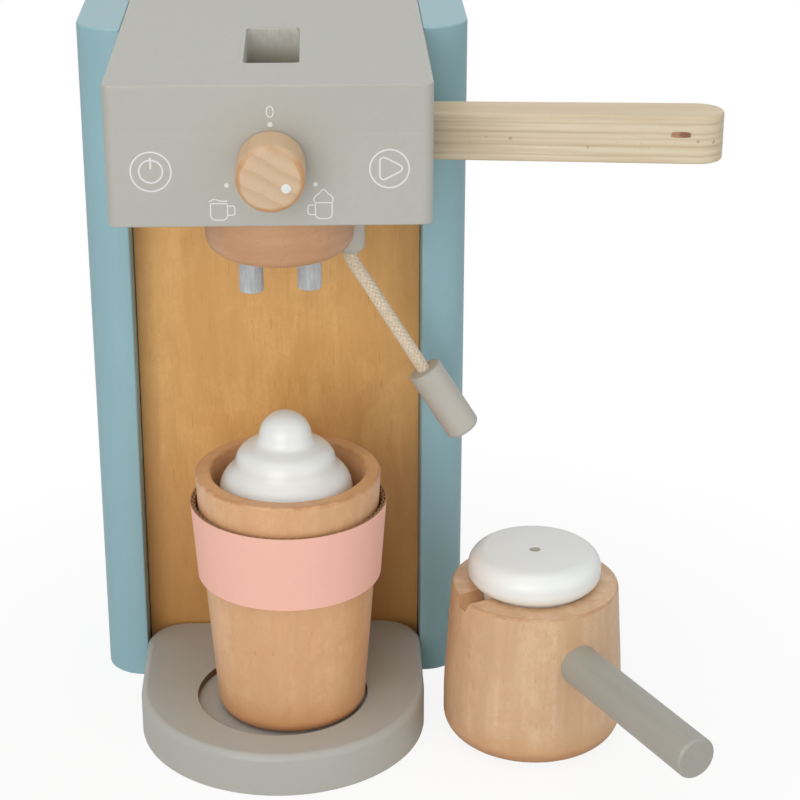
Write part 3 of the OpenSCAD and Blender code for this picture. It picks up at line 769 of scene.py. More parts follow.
def rounded(points, closed=True, fine=7.0):
    """Points (x, y) or (x, y, radius): each corner that has a radius becomes an arc.

    fine is the most degrees that one of the arc's chords may turn."""
    out = []
    count = len(points)
    for i, point in enumerate(points):
        here = Vector(point[:2])
        radius = point[2] if len(point) > 2 else 0
        if radius <= 0 or (not closed and i in (0, count - 1)):
            out.append(here)
            continue
        back = (Vector(points[i - 1][:2]) - here).normalized()
        on = (Vector(points[(i + 1) % count][:2]) - here).normalized()
        half = back.angle(on) / 2
        if half > math.radians(89.5):
            out.append(here)
            continue
        reach = radius / math.tan(half)
        centre = here + (back + on).normalized() * (radius / math.sin(half))
        start = here + back * reach - centre
        turn = math.pi - 2 * half
        sign = 1 if start.cross(here + on * reach - centre) > 0 else -1
        steps = max(2, math.ceil(math.degrees(turn) / fine))
        for k in range(steps + 1):
            out.append(centre + Matrix.Rotation(sign * turn * k / steps, 2) @ start)
    return out


def spread(points, step):
    """The closed outline with more points along its long sides."""
    out = []
    for i, here in enumerate(points):
        on = points[(i + 1) % len(points)]
        count = max(1, math.ceil((on - here).length / step))
        out += [here.lerp(on, k / count) for k in range(count)]
    return out


def smooth_line(points, steps):
    """A smooth curve through the points, with their neighbours' slopes."""
    out = []
    last = len(points) - 1
    for i in range(last):
        p0, p1, p2, p3 = (Vector(points[min(max(k, 0), last)]) for k in range(i - 1, i + 3))
        for t in (k / steps for k in range(steps)):
            out.append(
                0.5 * (2 * p1 + (p2 - p0) * t + (2 * p0 - 5 * p1 + 4 * p2 - p3) * t * t
                       + (3 * p1 - p0 - 3 * p2 + p3) * t ** 3)
            )
    return [*out, Vector(points[-1])]


# ---- Solids ----


VERT, EDGE, FACE = bmesh.types.BMVert, bmesh.types.BMEdge, bmesh.types.BMFace


def picked(geom, kind):
    """The items of one kind among what an operator has made."""
    return [item for item in geom if isinstance(item, kind)]


def ring(bm, points, z):
    """A closed loop of edges through the points."""
    verts = [bm.verts.new((p[0], p[1], z)) for p in points]
    return [bm.edges.new((verts[i - 1], verts[i])) for i in range(len(verts))]


def soften(bm, width, wanted=None, segments=3):
    """Rounds the edges that turn by more than 35 degrees and that wanted(middle) lets through."""
    edges = [
        e
        for e in bm.edges
        if len(e.link_faces) == 2
        and e.calc_face_angle(0.0) > math.radians(35)
        and (wanted is None or wanted((e.verts[0].co + e.verts[1].co) / 2))
    ]
    if edges and width > 0:
        bmesh.ops.bevel(
            bm, geom=edges, offset=width, offset_type="OFFSET", segments=segments,
            profile=0.5, affect="EDGES", material=-1, clamp_overlap=True, loop_slide=True,
        )


def board(outline, low, high, hole=None):
    """A flat board from low to high in Z, with a hole right through where one is given."""
    bm = bmesh.new()
    edges = ring(bm, outline, low)
    if hole:
        edges += ring(bm, hole, low)
        faces = bmesh.ops.bridge_loops(bm, edges=edges)["faces"]
    else:
        faces = bmesh.ops.contextual_create(bm, geom=edges)["faces"]
    made = bmesh.ops.extrude_face_region(bm, geom=faces, use_keep_orig=True)["geom"]
    verts = picked(made, VERT)
    bmesh.ops.translate(bm, verts=verts, vec=(0, 0, high - low))
    bmesh.ops.recalc_face_normals(bm, faces=bm.faces)
    return bm


def block(low, high, radii=(0, 0, 0, 0), hole=None, fine=9.0):
    """A board that fills a box, with its upright edges rounded."""
    plan = rounded(rectangle(low.x, high.x, low.y, high.y, radii), True, fine)
    return board(plan, low.z, high.z, hole)


def lathe(profile, fine=7.0, steps=None):
    """Spins an open profile of (radius, height) or (radius, height, rounding) round Z."""
    bm = bmesh.new()
    verts = [bm.verts.new((max(p[0], 0.0), 0, p[1])) for p in rounded(profile, False, fine)]
    edges = [bm.edges.new(pair) for pair in zip(verts, verts[1:])]
    bmesh.ops.spin(
        bm, geom=verts + edges, cent=(0, 0, 0), axis=(0, 0, 1), dvec=(0, 0, 0),
        angle=TAU, steps=steps or sizes().turned_steps, use_merge=True, use_duplicate=False,
    )
    bmesh.ops.remove_doubles(bm, verts=bm.verts, dist=1e-4)
    bmesh.ops.recalc_face_normals(bm, faces=bm.faces)
    return bm


def station(place, right, out, way):
    """A matrix at a place, whose X, Y and Z are the three vectors."""
    return Matrix.Translation(place) @ Matrix((right, out, way)).transposed().to_4x4()


def sweep(bm, places, sides):
    """Extrudes a unit circle through the places, each a matrix, and caps both ends."""
    made = bmesh.ops.create_circle(
        bm, cap_ends=True, segments=sides, radius=1.0, matrix=places[0]
    )
    face = made["verts"][0].link_faces[0]
    for i in range(1, len(places)):
        geom = bmesh.ops.extrude_face_region(bm, geom=[face], use_keep_orig=i == 1)["geom"]
        face = picked(geom, FACE)[0]
        matrix = places[i] @ places[i - 1].inverted()
        bmesh.ops.transform(bm, matrix=matrix, verts=picked(geom, VERT))
    return bm


def placed(bm, where, turn=Matrix.Identity(4)):
    """Turns and moves a mesh that is still in millimetres."""
    bm.transform(Matrix.Translation(where) @ turn)
    return bm


def add(name, data):
    """A new object in the scene."""
    obj = bpy.data.objects.new(name, data)
    bpy.context.scene.collection.objects.link(obj)
    return obj


def settle(bm, name):
    """Ends a drawing in millimetres as an object in metres."""
    bm.transform(Matrix.Scale(1 / MM, 4))
    mesh = bpy.data.meshes.new(name)
    bm.to_mesh(mesh)
    bm.free()
    return add(name, mesh)


def even_faces(obj):
    """Shades a rounded board's flats flat."""
    normals = obj.modifiers.new("Even faces", "WEIGHTED_NORMAL")
    normals.keep_sharp = True
    normals.weight = 80


def piece(bm, name, body, look, node=None, slot=None, angle=40.0, even=True):
    """Makes the object, in metres at the origin, and lets it ride on its body."""
    obj = settle(bm, name)
    obj.data.shade_smooth()
    obj.data.set_sharp_from_angle(angle=math.radians(angle))
    obj.data.materials.append(look)
    if even:
        even_faces(obj)
    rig.ride(obj, body)
    if node:
        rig.replaces(obj, node)
    if slot:
        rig.slot(obj, slot)
    return obj


def patch(obj, look, wanted):
    """Gives a second look to the faces that wanted(middle in millimetres, normal) lets through."""
    obj.data.materials.append(look)
    for face in obj.data.polygons:
        if wanted(face.center * MM, face.normal):
            face.material_index = 1


def cut(obj, bm):
    """Takes the solid in bm, in millimetres, out of an object that has no modifiers yet."""
    cutter = settle(bm, "cutter")
    change = obj.modifiers.new("Cut", "BOOLEAN")
    change.object = cutter
    change.solver = "EXACT"
    graph = bpy.context.evaluated_depsgraph_get()
    solid = bpy.data.meshes.new_from_object(obj.evaluated_get(graph))
    obj.modifiers.remove(change)
    whole, obj.data = obj.data, solid
    for mesh in (whole, cutter.data):
        bpy.data.meshes.remove(mesh)


# ---- Stage ----

# Focal length and shift of the lens, and the camera's place, pitch down, yaw and roll
LENS, SHIFT_X, SHIFT_Y = 100.19, 0.0014, 0.0032
CAMERA_PLACE = (0.01767, -0.84117, 0.47812)
PITCH, YAW, ROLL = math.radians(22.739), math.radians(-2.127), math.radians(0.107)
# Each lamp's name, place, width, energy and colour
LAMPS = (
    ("key", (-0.45, -1.3, 0.5), 0.9, 7.4, (1.0, 0.99, 0.972)),
    ("top", (-0.15, -0.25, 1.5), 1.3, 8.5, (1.0, 0.99, 0.98)),
    ("fill", (1.3, -0.9, 0.7), 1.2, 4.0, (0.98, 0.99, 1.0)),
)
LAMP_AIM = Vector((0.02, -0.02, 0.12))
SKY, SKY_STRENGTH = (0.97, 0.985, 1.0, 1), 0.32
FLOOR_SIZE = 6000.0  # millimetres from the middle to a side


def floor_look(s):
    """Pale matt floor that keeps the object's shadow and turns to plain white further out."""
    soft = s.noise(s.point(), 3.0, 2.0)
    tint = s.blend(soft.step(0.3, 0.7), (0.9, 0.9, 0.9, 1), (0.92, 0.92, 0.92, 1))
    x, y, _ = s.axes(s.point((-0.04, 0.04, 0)))
    far = ((x * x + y * y) ** 0.5).step(0.1, 0.32)
    seen = s.node("ShaderNodeLightPath", output="Is Camera Ray")
    matt = s.node("ShaderNodeBsdfPrincipled", inputs={"Base Color": tint, "Roughness": 0.9})
    glow = s.node("ShaderNodeEmission", inputs={0: WHITE, 1: 1.0})
    share = seen * (far * 0.12 + 0.88)
    s.out("Material", s.node("ShaderNodeMixShader", inputs={0: share, 1: matt, 2: glow}))
    return s.owner


class TOY_OT_stage(bpy.types.Operator):
    """Makes the camera, the floor, the lamps and the white surroundings"""

    bl_idname = "toy.stage"
    bl_label = "Stage"

    def execute(self, context):
        camera = bpy.data.cameras.new("camera")
        camera.sensor_width, camera.lens = 36, LENS
        camera.shift_x, camera.shift_y = SHIFT_X, SHIFT_Y
        camera.clip_start, camera.clip_end = 0.05, 20
        eye_point = add("camera", camera)
        eye_point.location = CAMERA_PLACE
        aim = Euler((math.pi / 2 - PITCH, 0, YAW)).to_matrix()
        eye_point.rotation_euler = (aim @ Matrix.Rotation(ROLL, 3, "Z")).to_euler()
        context.scene.camera = eye_point

        bm = bmesh.new()
        bmesh.ops.create_grid(bm, x_segments=1, y_segments=1, size=FLOOR_SIZE)
        floor = settle(bm, "floor")
        floor.data.materials.append(material("floor", floor_look))
        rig.stage(floor)

        # Straight and mirrored looks see white; everything else is lit by a weak sky
        world = bpy.data.worlds.new("studio")
        context.scene.world = world
        s = Surface(world)
        straight, mirrored, through = (
            s.node("ShaderNodeLightPath", output=f"Is {ray} Ray")
            for ray in ("Camera", "Glossy", "Transmission")
        )
        share = (straight + mirrored + through).least(1.0)
        lit = s.node("ShaderNodeBackground", inputs={0: SKY, 1: SKY_STRENGTH})
        white = s.node("ShaderNodeBackground", inputs={0: WHITE, 1: 1.0})
        s.out("World", s.node("ShaderNodeMixShader", inputs={0: share, 1: lit, 2: white}))

        for name, where, wide, power, tone in LAMPS:
            lamp = bpy.data.lights.new(name, "AREA")
            lamp.size, lamp.energy, lamp.color = wide, power, tone
            obj = add(name, lamp)
            obj.location = where
            obj.rotation_euler = (LAMP_AIM - Vector(where)).to_track_quat("-Z", "Y").to_euler()
        context.scene.view_settings.view_transform = "Standard"
        return {"FINISHED"}


# ---- Steam wand: the rope comes first ----

# Middle of the rope, counted from the middle of the socket's end, as in the part's source
ROPE_POINTS = (
    (0, 0), (0, -1), (0.3, -2.2), (1, -3.6), (2.2, -5.8), (4.3, -9.1), (8, -14.8),
    (12.8, -22.8), (17.6, -30.8), (22.4, -38.6), (25.9, -44.4), (28.9, -49.2),
)
TIP_LEAN = math.radians(32)
CORE = 1.85  # radius of the rope's core
LAY, WEAVE = 2.12, 0.18  # how far out the strands lie, and how far they weave in and out
STRAND_WIDE, STRAND_THICK, STRAND_SIDES = 0.86, 0.42, 8  # half sizes of a strand, and its facets


def rope_line(step=0.45):
    """Points down the middle of the rope, evenly spaced, with the way it runs at each."""
    socket = Place("wand_socket")
    start = Vector((socket.mid.x, socket.mid.y, socket.low.z))
    curve = [start + Vector((p[0], 0, p[1])) for p in smooth_line(ROPE_POINTS, 8)]
    reach = [0.0]
    for a, b in zip(curve, curve[1:]):
        reach.append(reach[-1] + (b - a).length)
    count = round(reach[-1] / step)
    points, k = [], 0
    for i in range(count + 1):
        want = reach[-1] * i / count
        while k < len(curve) - 2 and reach[k + 1] < want:
            k += 1
        share = (want - reach[k]) / (reach[k + 1] - reach[k])
        points.append(curve[k].lerp(curve[k + 1], share))
    ends = [(max(i - 1, 0), min(i + 1, count)) for i in range(count + 1)]
    return points, [(points[b] - points[a]).normalized() for a, b in ends], reach[-1]


class TOY_OT_wand(bpy.types.Operator):
    """Makes the braided rope of the steam wand, its socket and its tip"""

    bl_idname = "toy.wand"
    bl_label = "Steam wand"

    def execute(self, context):
        points, ways, total = rope_line()
        count, strands, pitch = len(points), sizes().strands, size("braid_pitch")
        bm = bmesh.new()
        across = bm.verts.layers.float.new("across")
        along = bm.verts.layers.float.new("along")
        side = Vector((0, 1, 0))

        def section(i, angle, out, wide, thick):
            """The section at point i that looks out at an angle."""
            right = side.cross(ways[i]).normalized()
            outward = math.cos(angle) * right + math.sin(angle) * side
            round_way = ways[i].cross(outward)
            return station(points[i] + outward * out, round_way * wide, outward * thick, ways[i])

        sweep(bm, [section(i, 0, 0, CORE, CORE) for i in range(0, count, 4)], 12)
        for hand in (1, -1):
            for k in range(strands):
                before = len(bm.verts)
                places = []
                for i in range(count):
                    turns = total * i / (count - 1) / pitch
                    angle = TAU * (hand * turns + k / strands)
                    weave = hand * math.cos(TAU * strands * turns)
                    out = LAY + WEAVE * weave
                    places.append(section(i, angle, out, STRAND_WIDE, STRAND_THICK))
                # Each strand grows in a mesh of its own, which is much quicker
                strand = sweep(bmesh.new(), places, STRAND_SIDES)
                mesh = bpy.data.meshes.new("strand")
                strand.to_mesh(mesh)
                strand.free()
                bm.from_mesh(mesh)
                bpy.data.meshes.remove(mesh)
                bm.verts.ensure_lookup_table()
                for n in range(before, len(bm.verts)):
                    row, corner = divmod(n - before, STRAND_SIDES)
                    bm.verts[n][across] = math.cos(TAU * corner / STRAND_SIDES) * STRAND_WIDE
                    bm.verts[n][along] = row * total / count + k * 0.37
        cotton = material("braided cotton", cord_cloth, paints().cotton)
        rope = piece(bm, "wand_braid", "machine", cotton, "wand_rope", "cotton", 70, even=False)

        grey = material("grey paint on dowels", paint, paints().dowel, streak=(3, 3, 0.4))
        at = Place("wand_socket")
        low, high, radius = at.low.z, at.high.z, at.radius
        bm = lathe([
            (0, low), (radius - 2.4, low, 0.7), (radius, low + 2.4, 1.2), (radius, high),
            (0, high),
        ])
        piece(placed(bm, at.axis), "wand_holder", "machine", grey, "wand_socket", "grey_paint")

        # The tip: where the rope goes in, its radius and its length
        mouth, radius, long = 2.75, 7, 31
        bm = lathe([
            (0, 0), (mouth, 0, 0.4), (mouth, 0.05), (radius, 0.05, 1.0), (radius, long, 2.2),
            (0, long),
        ])
        way = Vector((math.sin(TIP_LEAN), 0, -math.cos(TIP_LEAN)))
        turn = way.to_track_quat("Z", "Y").to_matrix().to_4x4()
        bm = placed(bm, points[-1], turn)
        tip = piece(bm, "wand_grip", "machine", grey, "wand_tip", "grey_paint")
        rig.cord(
            rope, exit=points[0] / 1000, length=total / 1000, diameter=0.005,
            far_end="fitting", stiffness="stiff", lay="hanging",
            path=[p / 1000 for p in points[::4]] + [points[-1] / 1000], with_pieces=[tip],
        )
        return {"FINISHED"}


# ---- Body ----


class TOY_OT_posts(bpy.types.Operator):
    """Makes the two blue posts with their rounded front edges"""

    bl_idname = "toy.posts"
    bl_label = "Posts"

    def execute(self, context):
        look = material("blue paint", paint, paints().blue, mottle=0.018)
        edge, big = size("board_edge"), size("post_round")
        for node, radii in (
            ("post_left", (big, edge, edge, edge)), ("post_right", (edge, big, edge, edge)),
        ):
            bm = block(*Place(node), radii, fine=5.0)
            soften(bm, edge)
            piece(bm, node.replace("post", "board"), "machine", look, node, "blue_paint")
        return {"FINISHED"}


class TOY_OT_panel(bpy.types.Operator):
    """Makes the plywood back panel and the rail behind its foot"""

    bl_idname = "toy.panel"
    bl_label = "Back panel"

    def execute(self, context):
        slack = 0.7  # how much wider than the part's the panel is drawn on each side
        low, high = Place("back_panel")
        low.x -= slack
        high.x += slack
        bm = block(low, high)
        soften(bm, 0.4, segments=2)
        look = material("panel veneer", veneer, paints().panel)
        piece(bm, "plywood_back", "machine", look, "back_panel", "panel_plywood")
        bm = block(*Place("foot_rail"))
        soften(bm, size("board_edge"))
        piece(bm, "rear_rail", "machine", grey_paint(), "foot_rail", "grey_paint")
        return {"FINISHED"}


class TOY_OT_base(bpy.types.Operator):
    """Makes the round-fronted base plate with its cup recess"""

    bl_idname = "toy.base"
    bl_label = "Base plate"

    def execute(self, context):
        low, high = Place("base_plate")
        front, back = high.x - 0.01, 17.0  # roundings of the plan's corners
        centre, recess, deep = Vector((0, -47)), 34.4, 3.0
        plan = rectangle(-high.x, high.x, low.y, high.y, (front, front, back, back))
        outline = spread(rounded(plan, True, 2.5), 2.0)
        hole = [centre + (p - centre).normalized() * recess for p in outline]
        bm = bmesh.new()
        rim, inner = ring(bm, outline, high.z), ring(bm, hole, high.z)
        bmesh.ops.bridge_loops(bm, edges=rim + inner)
        for edges, depth in ((rim, high.z - low.z), (inner, deep)):
            made = bmesh.ops.extrude_edge_only(bm, edges=edges)["geom"]
            verts = picked(made, VERT)
            bmesh.ops.translate(bm, verts=verts, vec=(0, 0, -depth))
            bmesh.ops.contextual_create(bm, geom=picked(made, EDGE))
        bmesh.ops.recalc_face_normals(bm, faces=bm.faces)
        top = high.z - 0.01

        def reach(c):
            return (Vector((c.x, c.y)) - centre).length

        soften(bm, size("base_edge"), lambda c: c.z > top and reach(c) > recess + 1.3, 6)
        soften(bm, size("board_edge"), lambda c: c.z < 0.01)
        soften(bm, 0.45, lambda c: c.z > top and reach(c) <= recess + 1.3, 2)
        obj = piece(bm, "base_board", "machine", grey_paint(), "base_plate", "grey_paint")
        raw = material("bare recess wall", timber, (0.45, 0.33, 0.24), flecks=0.3, bands=0.2)
        patch(
            obj, raw, lambda c, normal: reach(c) < recess + 0.1 and abs(normal.z) < 0.5
            and high.z - deep - 0.1 < c.z < high.z - 0.2,
        )
        return {"FINISHED"}


class TOY_OT_head(bpy.types.Operator):
    """Makes the boards of the head: roof with its slot, front, sides and floor"""

    bl_idname = "toy.head"
    bl_label = "Head"

    def execute(self, context):
        edge, look = size("board_edge"), grey_paint()
        corner = 4.0  # rounding of the head's upright edges
        low, high = Place("head_roof")
        # The pad slot: its middle, half its size and its corners
        mid, wide, deep, nook = Vector((0.6, -26.5)), 10.1, 27.25, 2.2
        sides = (mid.x - wide, mid.x + wide, mid.y - deep, mid.y + deep)
        slot = rounded(rectangle(*sides, (nook,) * 4), True, 9.0)
        bm = block(low, high, (corner,) * 4, slot)
        top = high.z - 0.01

        def in_slot(c):
            return abs(c.x - mid.x) < wide + 0.8 and abs(c.y - mid.y) < deep + 0.8

        soften(bm, edge, lambda c: c.z > top and not in_slot(c))
        soften(bm, 0.7, lambda c: c.z > top and in_slot(c), 2)
        roof = piece(bm, "head_top", "machine", look, "head_roof", "grey_paint")
        milled = material("slot paint", slot_paint, paints().grey)
        patch(roof, milled, lambda c, normal: in_slot(c) and abs(normal.z) < 0.4)

        low, high = Place("head_front")
        bm = block(low, high, (corner, corner, 0, 0))
        soften(bm, edge, lambda c: c.z < low.z + 0.01 and c.y < high.y - 0.1)
        piece(bm, "head_face", "machine", look, "head_front", "grey_paint")

        # The sides are drawn in Y and Z, then turned so that their thickness lies along X
        window = rectangle(-42.5, -10.45, 237.3, 256.4)
        for node, hole in (("head_side_left", None), ("head_side_right", window)):
            low, high = Place(node)
            bm = board(rectangle(low.y, high.y, low.z, high.z), low.x, high.x, hole)
            bm.transform(UPRIGHT)
            bmesh.ops.recalc_face_normals(bm, faces=bm.faces)
            outer = high.x if hole else low.x

            def outside(c):
                return abs(c.x - outer) < 0.01

            soften(bm, edge, lambda c: outside(c) and (c.z < low.z + 0.01 or c.y > high.y - 0.01))
            soften(bm, 0.6, lambda c: outside(c) and -43 < c.y < -10 and 237 < c.z < 257, 2)
            name = node.replace("head_side", "head_cheek")
            piece(bm, name, "machine", look, node, "grey_paint")

        bm = block(*Place("head_floor"))
        under = material("head floor paint", paint, paints().grey)
        piece(bm, "head_underside", "machine", under, "head_floor", "grey_paint")
        return {"FINISHED"}


def stroke(bm, points, closed, radius):
    """A round line through the points in X and Z; the caller flattens it."""
    points = [Vector((p[0], 0, p[1])) for p in points]
    count = len(points)
    out = Vector((0, 1, 0))
    places = []
    for i in range(count + (1 if closed else 0)):
        here = points[i % count]
        back = points[(i - 1) % count] if closed or i > 0 else here
        on = points[(i + 1) % count] if closed or i < count - 1 else here
        way = (on - back).normalized()
        bend = 1.0
        if back != here and on != here:
            bend = 1 / max(0.5, math.cos((here - back).angle(on - here) / 2))
        places.append(station(here, way.cross(out) * radius * bend, out * radius, way))
    sweep(bm, places, 8)


def dot(bm, x, z, radius):
    """A round dot, half as thick as it is wide."""
    made = bmesh.ops.create_uvsphere(
        bm, u_segments=24, v_segments=8, radius=radius,
        matrix=Matrix.Translation((x, 0, z)) @ FORWARD,
    )
    bmesh.ops.scale(bm, vec=(1, 0.5, 1), verts=made["verts"])


class TOY_OT_marks(bpy.types.Operator):
    """Prints the white signs on the head's front"""

    bl_idname = "toy.marks"
    bl_label = "Printed marks"

    def execute(self, context):
        wide, thin = size("mark_stroke"), 0.42
        steam = [(-21.6, 238.9), (-20.6, 239.6), (-19.2, 239.7), (-17.8, 239.2), (-15.2, 239.2)]
        cream = [
            (15.8, 238.3), (15.3, 239.6, 0.8), (16.3, 240.9, 0.5), (17.3, 241.6, 0.5),
            (18.9, 243.5, 0.8), (20.5, 241.6, 0.5), (21.5, 240.9, 0.5), (22.4, 239.6, 0.8),
            (22.0, 238.3),
        ]
        # Each line's points in X and Z, whether it closes, and its width
        lines = (
            # Zero above the knob
            (ellipse(0.5, 271.5, 1.2, 1.95, 28), True, thin),
            # Power sign
            (ellipse(-41.8, 250.1, 7.15, 7.15), True, wide),
            (ellipse(-41.8, 250.2, 4.15, 4.15), True, wide),
            ([(-41.8, 255.4), (-41.8, 251.1)], False, wide * 1.15),
            # Play sign
            (ellipse(42.3, 250.5, 6.95, 6.95), True, wide),
            ([(38.9, 255.5, 1.3), (48.3, 250.6, 1.3), (38.9, 245.7, 1.3)], True, wide),
            # Cup: body, handle and steam
            (rectangle(-21.2, -15.2, 238.2, 232.1, (0.4, 0.4, 1.8, 1.8)), True, thin),
            (rectangle(-15.2, -12.6, 237.3, 233.9, (0, 0.9, 0.9, 0)), False, thin),
            (smooth_line(steam, 4), False, thin),
            # Tall drink: body, handle and cream
            (rectangle(16.0, 21.9, 238.2, 232.3, (0.3, 0.3, 1.8, 1.8)), True, thin),
            (rectangle(16.0, 13.3, 237.4, 233.8, (0, 1.0, 1.0, 0)), False, thin),
            (cream, False, thin),
        )
        bm = bmesh.new()
        for points, closed, width in lines:
            stroke(bm, rounded(points, closed, 20), closed, width / 2)
        for x, z, radius in ((0.5, 266.9, 0.9), (-15.3, 244.9, 0.85), (16.1, 245.0, 0.85)):
            dot(bm, x, z, radius)
        flat = Matrix.Diagonal((1, 0.16, 1, 1))
        bm = placed(bm, (0, Place("head_front").low.y, 0), flat)
        piece(bm, "front_marks", "machine", printed(), slot="white_paint", angle=60, even=False)
        return {"FINISHED"}


class TOY_OT_knob(bpy.types.Operator):
    """Turns the knob, with its white pointer dot"""

    bl_idname = "toy.knob"
    bl_label = "Knob"

    def execute(self, context):
        at = Place("knob")
        radius, long = at.radius, at.high.y - at.low.y
        bm = lathe([(0, 0), (radius - 0.6, 0), (radius, 0.6), (radius, long, 2.5), (0, long)], 10)
        look = material("knob wood", knob_wood, paints().knob, at.mid / MM, radius / MM)
        bm = placed(bm, (at.mid.x, at.high.y, at.mid.z), FORWARD)
        piece(bm, "turning_knob", "knob", look, "knob", "beech")
        # The pointer's radius, thickness, and place on the knob's face
        radius, thick, x, z = 1.7, 0.12, 6.0, 249.6
        bm = lathe([(0, 0), (radius, 0), (radius, thick, 0.1), (0, thick)], 30, 32)
        bm = placed(bm, (x, at.low.y, z), FORWARD)
        piece(bm, "knob_pointer", "knob", printed(), slot="white_paint")
        return {"FINISHED"}


class TOY_OT_outlet(bpy.types.Operator):
    """Turns the outlet block and its two nozzles"""

    bl_idname = "toy.outlet"
    bl_label = "Outlet"

    def execute(self, context):
        beech = material(
            "outlet beech", timber, paints().block, turn=(0, math.pi / 2, 0),
            pith=(0.02, 0.06, 0.03), flecks=0.35, bands=0.08, late=0.1,
        )
        grey = material("silver stain", stain, paints().silver)
        # Node, piece, look, slot, rounding of the lower edge, its fineness, and facets
        for node, name, look, slot, soft, fine, steps in (
            ("group_block", "outlet_block", beech, "beech", 7.5, 6, None),
            ("nozzle_left", "spout_left", grey, "silver_paint", 0.6, 20, 64),
            ("nozzle_right", "spout_right", grey, "silver_paint", 0.6, 20, 64),
        ):
            at = Place(node)
            low, high, radius = at.low.z, at.high.z, at.radius
            bm = lathe([(0, low), (radius, low, soft), (radius, high), (0, high)], fine, steps)
            piece(placed(bm, at.axis), name, "machine", look, node, slot)
        return {"FINISHED"}


class TOY_OT_lever(bpy.types.Operator):
    """Saws the plywood lever"""

    bl_idname = "toy.lever"
    bl_label = "Lever"

    def execute(self, context):
        low, high = (corner.z for corner in Place("lever"))
        # Drawn along X from its pin: length of the arm and the tail, width at the pin and the end
        arm, tail, at_pin, at_end = 130.5, 50.0, 16.5, 21.0
        pin, turn = (40, -21.2, 0), Matrix.Rotation(math.radians(-4.4), 4, "Z")
        half, back = at_end / 2, at_pin / 2 - (at_end - at_pin) / 2 * tail / arm
        bm = board(rounded([
            (-tail, -back, 3), (arm, -half, 10.2), (arm, half, 10.2), (-tail, back, 3),
        ]), low, high)
        soften(bm, 1.0)
        look = material("lever plywood", plies, paints().birch, low / MM, high / MM)
        piece(placed(bm, pin, turn), "lever_arm", "lever", look, "lever", "birch_plywood")
        return {"FINISHED"}


# ---- Cup, sleeve and cream ----


class TOY_OT_cup(bpy.types.Operator):
    """Turns the takeaway cup"""

    bl_idname = "toy.cup"
    bl_label = "Cup"

    def execute(self, context):
        at = Place("cup")
        tall, rim, foot, bulge = at.tall, at.radius, 29.7, 0.35
        bore, floor = rim - 6.1, tall - 27.0
        side = []
        for share in (i / 12 for i in range(1, 12)):
            out = foot + (rim - foot) * share + bulge * math.sin(math.pi * share)
            side.append((out, 5 + (tall - 6) * share))
        bm = lathe([
            (0, 0.6), (foot - 9, 0.6, 3), (foot - 6.5, 0, 2), (foot - 0.2, 0, 5.0), *side,
            (rim, tall, 1.0), (bore, tall, 0.9), (bore - 2.0, floor, 1.5), (0, floor),
        ], 10)
        rims = [(*(v / MM for v in (at.mid.x, at.mid.y, r, at.high.z)),) for r in (rim, bore)]
        look = material(
            "cup beech", timber, paints().cup, pith=(0.075, -0.045, 0), ring=0.0075,
            flecks=0.3, bands=0.08, late=0.05, mottle=0.42, foot=0.031, rims=rims,
        )
        bm = placed(bm, (at.mid.x, at.mid.y, at.low.z))
        piece(bm, "takeaway_cup", "cup", look, "cup", "beech")
        return {"FINISHED"}


def eye(depth, steps):
    """Outline of the sleeve: two arcs that meet in a crease at each side."""
    wide = depth + 0.8
    radius = (wide * wide + depth * depth) / (2 * depth)
    span = math.asin(min(1.0, wide / radius))
    out = []
    for side in (1, -1):
        for angle in (span - 2 * span * i / steps for i in range(steps)):
            point = Vector((radius * math.sin(angle), radius * math.cos(angle) - radius + depth))
            out.append(side * point)
    return out


def band(outer, inner, low, high, grow, rows=6):
    """A flaring card wall between two outlines, drawn up in rows from its lower edge."""
    bm = bmesh.new()
    edges = ring(bm, outer, low) + ring(bm, inner, low)
    faces = bmesh.ops.bridge_loops(bm, edges=edges)["faces"]
    for row in range(1, rows + 1):
        made = bmesh.ops.extrude_face_region(bm, geom=faces, use_keep_orig=row == 1)["geom"]
        faces = picked(made, FACE)
        moved = picked(made, VERT)
        scale = (1 + (grow - 1) * row / rows) / (1 + (grow - 1) * (row - 1) / rows)
        bmesh.ops.scale(bm, vec=(scale, scale, 1), verts=moved)
        bmesh.ops.translate(bm, vec=(0, 0, (high - low) / rows), verts=moved)
    bmesh.ops.recalc_face_normals(bm, faces=bm.faces)
    return bm


class TOY_OT_sleeve(bpy.types.Operator):
    """Folds the card sleeve and its corrugated liner round the cup"""

    bl_idname = "toy.sleeve"
    bl_label = "Sleeve"

    def execute(self, context):
        at = Place("cup_sleeve")
        where, brown = (at.mid.x, at.mid.y, at.low.z), paints().brown
        # How much wider the upper edge is than the lower, the card's thickness, the liner's sheet
        # and the gap kept above and below it, and how far its waves swing each way
        grow, thick, sheet, inset, swing = 1.064, 0.5, 0.4, 0.15, 0.4
        foot = (at.high.y - at.low.y) / 2 / grow
        bm = placed(band(eye(foot, 60), eye(foot - thick, 60), 0, at.tall, grow), where)
        pink = material("pink card", card, paints().pink, 0.03, 0.82)
        outer = piece(bm, "card_sleeve", "sleeve", pink, "cup_sleeve", "pink_card", 35)

        def bare(c, normal):
            return abs(normal.z) > 0.8 or normal.xy.dot(c.xy - at.mid.xy) < 0

        patch(outer, material("cut card edge", card, brown), bare)
        flutes = sizes().flutes

        def wave(shift):
            points = eye(foot - thick - 0.65 + shift, flutes * 4)
            turn = TAU * flutes / len(points)
            return [p * (1 + swing * math.cos(turn * i) / p.length) for i, p in enumerate(points)]

        walls = wave(sheet / 2), wave(-sheet / 2)
        bm = placed(band(*walls, inset, at.tall - inset, grow, 2), where)
        look = material("corrugated card", card, brown)
        piece(bm, "fluted_liner", "sleeve", look, "sleeve_liner", "brown_card", 50, even=False)
        return {"FINISHED"}


